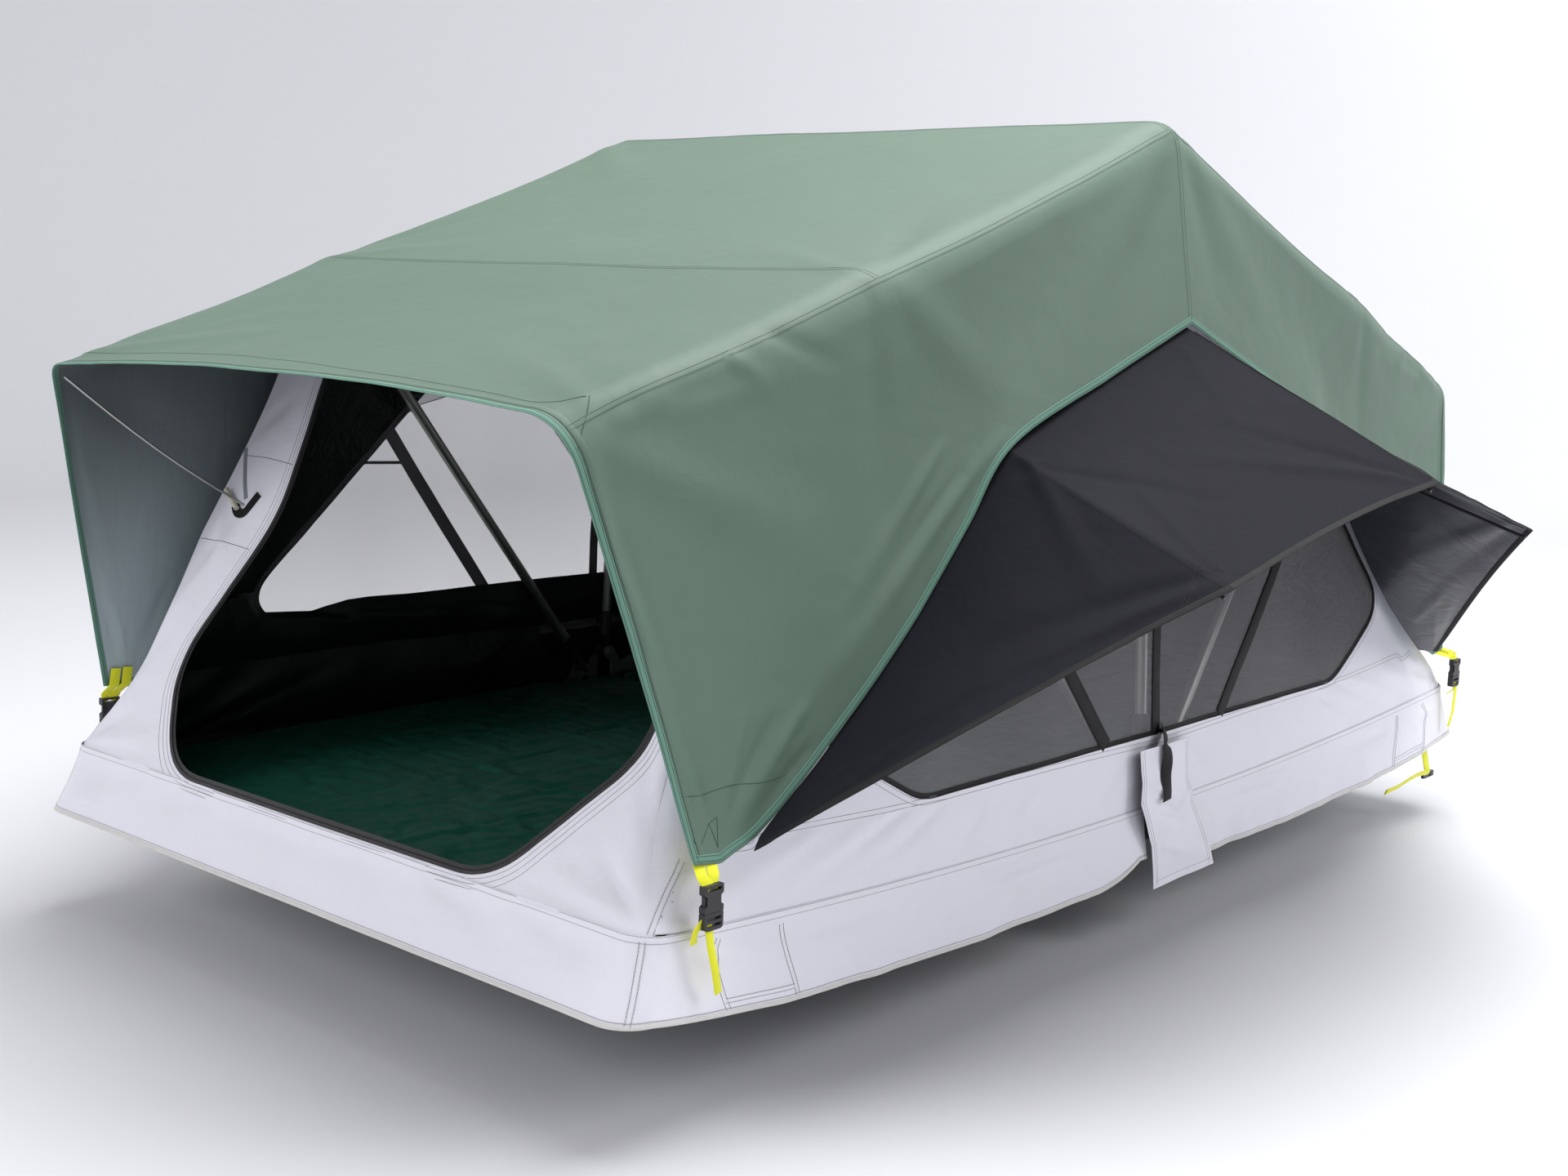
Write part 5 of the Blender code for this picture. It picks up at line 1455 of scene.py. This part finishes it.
def filled(points, faces, hold, most):
    """Points of a padded cover after a short cloth simulation, each held by its share and moved by most."""
    mesh = bpy.data.meshes.new("filling")
    mesh.from_pydata(points.tolist(), [], faces.tolist())
    piece, scene = linked("filling", mesh), bpy.context.scene
    group = piece.vertex_groups.new(name="held")
    for share in np.unique(hold):
        group.add(np.flatnonzero(hold == share).tolist(), float(share), "REPLACE")
    cloth = piece.modifiers.new("fill", "CLOTH")
    settings = cloth.settings
    settings.quality, settings.mass = 4, 0.15
    settings.tension_stiffness = settings.compression_stiffness = 12.0
    settings.shear_stiffness, settings.bending_stiffness = 3.0, 0.2
    settings.vertex_group_mass, settings.pin_stiffness = "held", 1.0
    settings.use_pressure, settings.uniform_pressure_force = True, 4.0
    settings.shrink_min = -0.03
    settings.effector_weights.gravity = 0.0
    cloth.collision_settings.use_collision = False
    for step in range(1, 21):
        scene.frame_set(step)
    settled = np.empty(points.size)
    result = piece.evaluated_get(bpy.context.evaluated_depsgraph_get())
    result.data.vertices.foreach_get("co", settled)
    scene.frame_set(1)
    bpy.data.objects.remove(piece)
    move = settled.reshape(-1, 3) - points
    reach = np.maximum(np.linalg.norm(move, axis=1), 1e-9)
    return points + move * (most * np.tanh(reach / most) / reach)[:, None]


class TENT_OT_mattresses(Operator):
    """Make the two foam mattresses with piped edges and puckered covers."""
    bl_idname = "tent.mattresses"
    bl_label = "Mattresses"

    def execute(self, context):
        for end in (-1, 1):
            self.pad(end)
        return {"FINISHED"}

    def plan(self, a, b, shrink, end):
        """Places on the pad from a across and b along, both -1 to 1, drawn in at the hinge brackets."""
        corner = 0.012 * np.abs(a * b) ** 16
        y = 0.5855 + (0.576 - shrink) * b - np.sign(b) * corner
        notch = 0.026 * (1 - np.clip((y - 0.150) / 0.030, 0, 1))
        x = (0.650 - shrink - notch) * a - np.sign(a) * corner
        return np.stack([x, end * y], axis=-1)

    def pad(self, end):
        """One pad: a fine grid over its top, rings down its sides, filled by a simulation, then piping."""
        across, along = 109, 97
        a, b = crossed(np.linspace(-1, 1, across), np.linspace(-1, 1, along))
        number = np.arange(across * along).reshape(across, along)
        edge = np.concatenate([number[:-1, 0], number[-1, :-1], number[:0:-1, -1], number[0, :0:-1]])
        top = np.concatenate([self.plan(a, b, 0.012, end), np.full((across, along, 1), 0.1425)], axis=-1)
        top[..., 2] += 0.0010 * soft_noise(top, 0.09, 31)
        points, rings = [top.reshape(-1, 3)], [edge]
        for shrink, height in ((0.005, 0.1418), (0.0015, 0.1385), (0.001, 0.1320), (0.001, 0.1220),
                               (0.001, 0.1120), (0.002, 0.1035), (0.006, 0.1010)):
            ring = self.plan(a.ravel()[edge], b.ravel()[edge], shrink, end)
            rings.append(np.arange(len(edge)) + sum(len(part) for part in points))
            points.append(np.concatenate([ring, np.full((len(edge), 1), height)], axis=1))
        points = np.concatenate(points)
        corners = number[:-1, :-1], number[1:, :-1], number[1:, 1:], number[:-1, 1:]
        faces = [np.stack(corners, axis=-1).reshape(-1, 4)]
        for above, below in zip(rings, rings[1:]):
            faces.append(np.stack([above, below, np.roll(below, -1), np.roll(above, -1)], axis=-1))
        faces = np.concatenate(faces)[:, ::1 if end > 0 else -1]
        hold = np.full(len(points), 0.30)
        hold[np.concatenate([rings[2], rings[-1]])] = 1.0
        points = filled(points, faces, hold, np.where(np.arange(len(points)) < number.size, 0.007, 0.002))
        shape = Shape()
        shape.add(points, faces, (points[:, :2] + points[:, 2:])[faces], 0)
        under = rings[-1] if end < 0 else rings[-1][::-1]
        shape.add(points[under], [list(range(len(under)))], points[under][:, :2], 0)
        path = points[rings[2]]
        outward = unit(path - [0, 0.5855 * end, 0.1])
        shape.sweep(path, outward, round_section(0.0022, 0.0, 6), 0, closed=True)
        piece = shape.build(f"mattress_{END[end]}", (mattress_cover,), BODY[end], "mattress_cloth",
                            (f"{END[end]}_mattress",), soft=False)


def hanging_tape(shape, points, across, width):
    """A flat tape through points, its width along a fixed direction."""
    path = line_through(points, 8 * len(points))
    normals = unit(np.cross(unit(np.gradient(path, axis=0)), np.array(across, float)))
    half = sizes().strap / 2
    shape.sweep(path, normals, flat_section(width, -half, half))


# The closing strap's runs: points, direction of the width, share of the webbing's width
CLOSING_STRAP = (
    (((0.688, 1.095, 0.064), (0.690, 1.100, 0.030), (0.6925, 1.109, 0.002), (0.694, 1.112, -0.012)),
     (0, 1, 0), 1),
    (((0.6965, 1.112, -0.0110), (0.6990, 1.085, -0.0050), (0.7000, 1.050, -0.0020), (0.7010, 1.010, -0.0040),
      (0.7005, 0.950, -0.0115), (0.7000, 0.895, -0.0125)), (0.45, 0, 1.0), 0.50),
    (((0.7018, 0.915, -0.0115), (0.7016, 0.893, -0.0125)), (0.45, 0, 1.0), 0.52))


class TENT_OT_straps(Operator):
    """Sew the yellow straps to the fly, thread them through the buckles and hang the closing strap."""
    bl_idname = "tent.straps"
    bl_label = "Straps and buckles"

    def execute(self, context):
        width = sizes().webbing
        for side, end in itertools.product((-1, 1), repeat=2):
            where = f"{END[end]}_{SIDE[side]}"
            y = 1.106 if end < 0 else 1.159
            turn = np.array([side, end, 1])
            sewn = Shape()
            for lean in (-1, 1):
                points = ((0.6885, 1.095 + lean * 0.011, 0.285), (0.6910, 1.098 + lean * 0.011, 0.256),
                          (0.7065, y + lean * 0.010, 0.240),
                          (0.7135 + lean * 0.001, y + lean * 0.003, 0.2255))
                hanging_tape(sewn, points * turn, (0, 1, 0), width * 0.72)
            sewn.build(f"sewn_strap_{where}", (yellow,), BODY[end], "neon_webbing")
            tail = Shape()
            points = ((0.7135, y + 0.006, 0.1825), (0.7175, y + 0.006, 0.168), (0.7180, y + 0.003, 0.150),
                      (0.7195, y - 0.004, 0.120), (0.7165, y - 0.014, 0.087))
            hanging_tape(tail, points * turn, (0, 0.9, 0.3), width * 0.50)
            points = ((0.7125, y + 0.012, 0.1860), (0.7105, y + 0.024, 0.174), (0.7055, y + 0.022, 0.160),
                      (0.6970, y + 0.012, 0.152))
            hanging_tape(tail, points * turn, (0, 1, 0), width * 0.4)
            tail.build(f"strap_tail_{where}", (yellow,), f"plug_{where}", "neon_webbing", soft=False)
        strap = Shape()
        for points, across, share in CLOSING_STRAP:
            hanging_tape(strap, points, across, width * share)
        strap.build("closing_webbing", (yellow,), "rear_base", "neon_webbing", ("closing_strap",), soft=False)
        return {"FINISHED"}


# Edges of a hinge cover: how far down, and the place along the tent there
COVER_LEFT = ((0.0, 0.23, 0.37, 0.50, 0.69, 0.97), (-0.084, -0.075, -0.078, -0.060, -0.037, -0.026))
COVER_RIGHT = ((0.0, 0.28, 0.44, 0.65, 0.82, 1.0), (0.072, 0.076, 0.092, 0.136, 0.163, 0.186))


def cover_sheet(side):
    """A hinge cover: a across it from the fixed half, d down it."""
    def base(a, d):
        a, d = np.broadcast_arrays(np.asarray(a, float), np.asarray(d, float))
        left = np.interp(d, *COVER_LEFT)
        right = np.interp(d, *COVER_RIGHT)
        wave = 0.0035 * np.sin(3.1 * a + 2.2 * d) * np.clip(d, 0, 1)
        x = side * (0.7065 + 0.002 * d + wave)
        return np.stack([x, left + (right - left) * a, 0.232 - 0.245 * d], axis=-1)

    def relief(p):
        return uneven(p, 41, (0.0016, 0.07), (0.0006, 0.025)) + folded(p + [0, 0.5, 0], COVER_FOLDS, 0)
    return Surface(base, relief, (0, 0, 0.1))


COVER_FOLDS = folds(
    (708, 440, 175, 708, 600, 115, 9, 4), (708, 440, 150, 708, 580, 90, 9, -3.6),
    (708, 600, 160, 708, 500, 70, 10, 3.6), (708, 470, 120, 708, 640, 50, 10, -3),
    (708, 490, 60, 708, 660, 10, 12, 3),
)


class TENT_OT_hinge_covers(Operator):
    """Hang the white flaps over the break in the skirt, with the pull band on each."""
    bl_idname = "tent.hinge_covers"
    bl_label = "Hinge covers"

    def execute(self, context):
        for side in (-1, 1):
            sheet = cover_sheet(side)
            shape = Shape()
            area = shape.cover(sheet, *crossed(np.linspace(0, 1, 64), np.linspace(0, 1, 76)), 0.0012)
            piece = shape.build(f"hinge_flap_{SIDE[side]}", (white, lining), "rear_base", "white_cloth",
                                (f"hinge_cover_{SIDE[side]}",), soft=False)
            self.trim(sheet, side)
        return {"FINISHED"}

    def trim(self, sheet, side):
        """Rows of stitches round the flap and the black pull band."""
        trim = Trim()
        t = np.linspace(0.02, 0.98, 40)
        for a in (0.055, 0.945):
            trim.line(sheet, a, t, (-0.003, 0.003))
        trim.line(sheet, np.linspace(0.04, 0.96, 40), 0.95)
        trim.build(f"hinge_flap_trim_{SIDE[side]}", (white, white_thread), "rear_base", "white_cloth",
                   soft=False)
        band = Shape()
        steps = np.linspace(0, 1, 60)
        knots = ((0.6895, 0.010, 0.256), (0.7030, -0.004, 0.243), (0.7125, -0.013, 0.229),
                 (0.7145, -0.012, 0.195), (0.7140, -0.008, 0.165), (0.7145, -0.005, 0.137))
        path = smooth_curve(knots, steps)
        twist = 0.22 * np.sin(steps * 9.0 - 1.0) * np.sin(steps * math.pi)
        path = (path + 0.0015 * np.sin(steps * 16)[:, None] * [1, 0, 0]) * [side, 1, 1]
        normals = np.stack([side * np.cos(twist), np.sin(twist), 0 * twist], axis=1)
        band.sweep(path, normals, flat_section(0.026, -0.0006, 0.0008))
        band.build(f"pull_band_{SIDE[side]}", (black_webbing,), "front_base", "black_plastic", soft=False)


class TENT_OT_hardware(Operator):
    """Finish the frames, boards, rails, hinges, hoops, rods and buckles."""
    bl_idname = "tent.hardware"
    bl_label = "Frame and hardware"

    def execute(self, context):
        kinds = (("hoop_tube", hoop_tube), ("hoop_foot", plastic), ("_frame", satin_aluminium),
                 ("base_panel", board), ("mounting_rail", black_rail), ("rail_cap", plastic),
                 ("hinge_pin", steel), ("fixed_hinge", steel), ("moving_hinge", steel), ("awning_rod", steel),
                 ("side_rod", dark_rod), ("buckle", plastic), ("strap_adjuster", plastic))
        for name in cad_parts:
            for part, maker in kinds:
                if part in name:
                    mesh = bpy.data.objects[name].data
                    mesh.materials.clear()
                    mesh.materials.append(made(maker))
                    break
        return {"FINISHED"}


class TENT_OT_studio(Operator):
    """Set up the pale floor, the soft lights and the camera."""
    bl_idname = "tent.studio"
    bl_label = "Studio"

    def execute(self, context):
        look = context.scene.tent_studio
        self.backdrop(look.floor)
        world = bpy.data.worlds.new("studio")
        world.use_nodes = True
        world.node_tree.nodes["Background"].inputs["Color"].default_value = (0.98, 0.97, 1.0, 1.0)
        world.node_tree.nodes["Background"].inputs["Strength"].default_value = look.sky
        context.scene.world = world
        context.scene.view_settings.view_transform = "Standard"
        self.lamp("overhead", (0.6, 0.6, 4.6), (0.0, 0.0, 0.4), 4.5, look.key)
        self.lamp("side", (4.6, 2.6, 3.0), (0.0, 0.0, 0.6), 2.5, look.key * 0.30)
        self.lamp("front", (-1.6, -5.6, 2.6), (0.0, -0.6, 0.4), 3.0, look.key * 0.32)
        self.lamp("backdrop", (0.4, 5.2, 4.6), (-2.6, 9.0, 2.6), 2.0, look.key * 0.60)
        self.camera(look.lens)
        return {"FINISHED"}

    def backdrop(self, level):
        """A round floor that curves up into a wall far behind."""
        flat = [(r, level) for r in (1.5, 3.0, 5.0, 6.5)]
        turn = np.linspace(0.1, math.pi / 2, 12)
        bend = [(6.5 + 2.5 * math.sin(a), level + 2.5 * (1 - math.cos(a))) for a in turn]
        section = np.array(flat + bend + [(9.0, level + 6.0)])
        angle = np.linspace(0, math.tau, 97)[:-1]
        points = np.stack([section[:, :1] * np.cos(angle), section[:, :1] * np.sin(angle),
                           np.broadcast_to(section[:, 1:], (len(section), 96))], axis=-1)
        shape = Shape()
        uv = points[..., :2]
        shape.grid(points, np.concatenate([uv, uv[:, :1]], axis=1), 0, round_columns=True, flip=True)
        shape.add(points[0], [list(range(96))], points[0][:, :2], 0)
        linked("studio_floor", shape.mesh("studio_floor", (studio_floor,)))

    def lamp(self, name, place, aim, size, power):
        data = bpy.data.lights.new(name, "AREA")
        data.shape, data.size, data.energy = "DISK", size, power
        lamp = linked(name, data)
        lamp.location = place
        lamp.rotation_euler = (Vector(aim) - Vector(place)).to_track_quat("-Z", "Y").to_euler()

    def camera(self, lens):
        data = bpy.data.cameras.new("photograph")
        data.lens, data.sensor_width, data.clip_end = lens, 36.0, 60.0
        camera = linked("photograph", data)
        right, up, ahead = (0.7484, 0.6625, 0.0309), (-0.1257, 0.0959, 0.9874), (-0.6512, 0.7429, -0.1550)
        turn = Matrix((right, up, [-k for k in ahead])).transposed()
        turn = turn.to_quaternion().to_matrix().to_4x4()
        camera.matrix_world = Matrix.Translation((2.2998, -2.7977, 0.9681)) @ turn
        bpy.context.scene.camera = camera


OPERATORS = (TENT_OT_studio, TENT_OT_hardware, TENT_OT_fly, TENT_OT_fly_trim, TENT_OT_inner_tent,
             TENT_OT_end_walls, TENT_OT_door, TENT_OT_windows, TENT_OT_window_covers, TENT_OT_skirts,
             TENT_OT_side_awnings, TENT_OT_mattresses, TENT_OT_straps, TENT_OT_hinge_covers)
GROUPS = (("tent_sizes", TentSizes), ("tent_colours", TentColours), ("tent_studio", TentStudio))


class TENT_PT_panel(Panel):
    """Lists the steps that dress the tent."""
    bl_idname = "TENT_PT_panel"
    bl_label = "Roof top tent"
    bl_space_type = "VIEW_3D"
    bl_region_type = "UI"
    bl_category = "Tent"

    def draw(self, context):
        for group, kind in GROUPS:
            for name in kind.__annotations__:
                self.layout.prop(getattr(context.scene, group), name)
        for operator in OPERATORS:
            self.layout.operator(operator.bl_idname)


def register():
    for group, kind in GROUPS:
        bpy.utils.register_class(kind)
        setattr(bpy.types.Scene, group, PointerProperty(type=kind))
    for kind in (*OPERATORS, TENT_PT_panel):
        bpy.utils.register_class(kind)


def unregister():
    for kind in (TENT_PT_panel, *reversed(OPERATORS)):
        bpy.utils.unregister_class(kind)
    for group, kind in reversed(GROUPS):
        delattr(bpy.types.Scene, group)
        bpy.utils.unregister_class(kind)


def main():
    register()
    for operator in OPERATORS:
        group, step = operator.bl_idname.split(".")
        getattr(getattr(bpy.ops, group), step)()


if __name__ == "__main__":
    main()
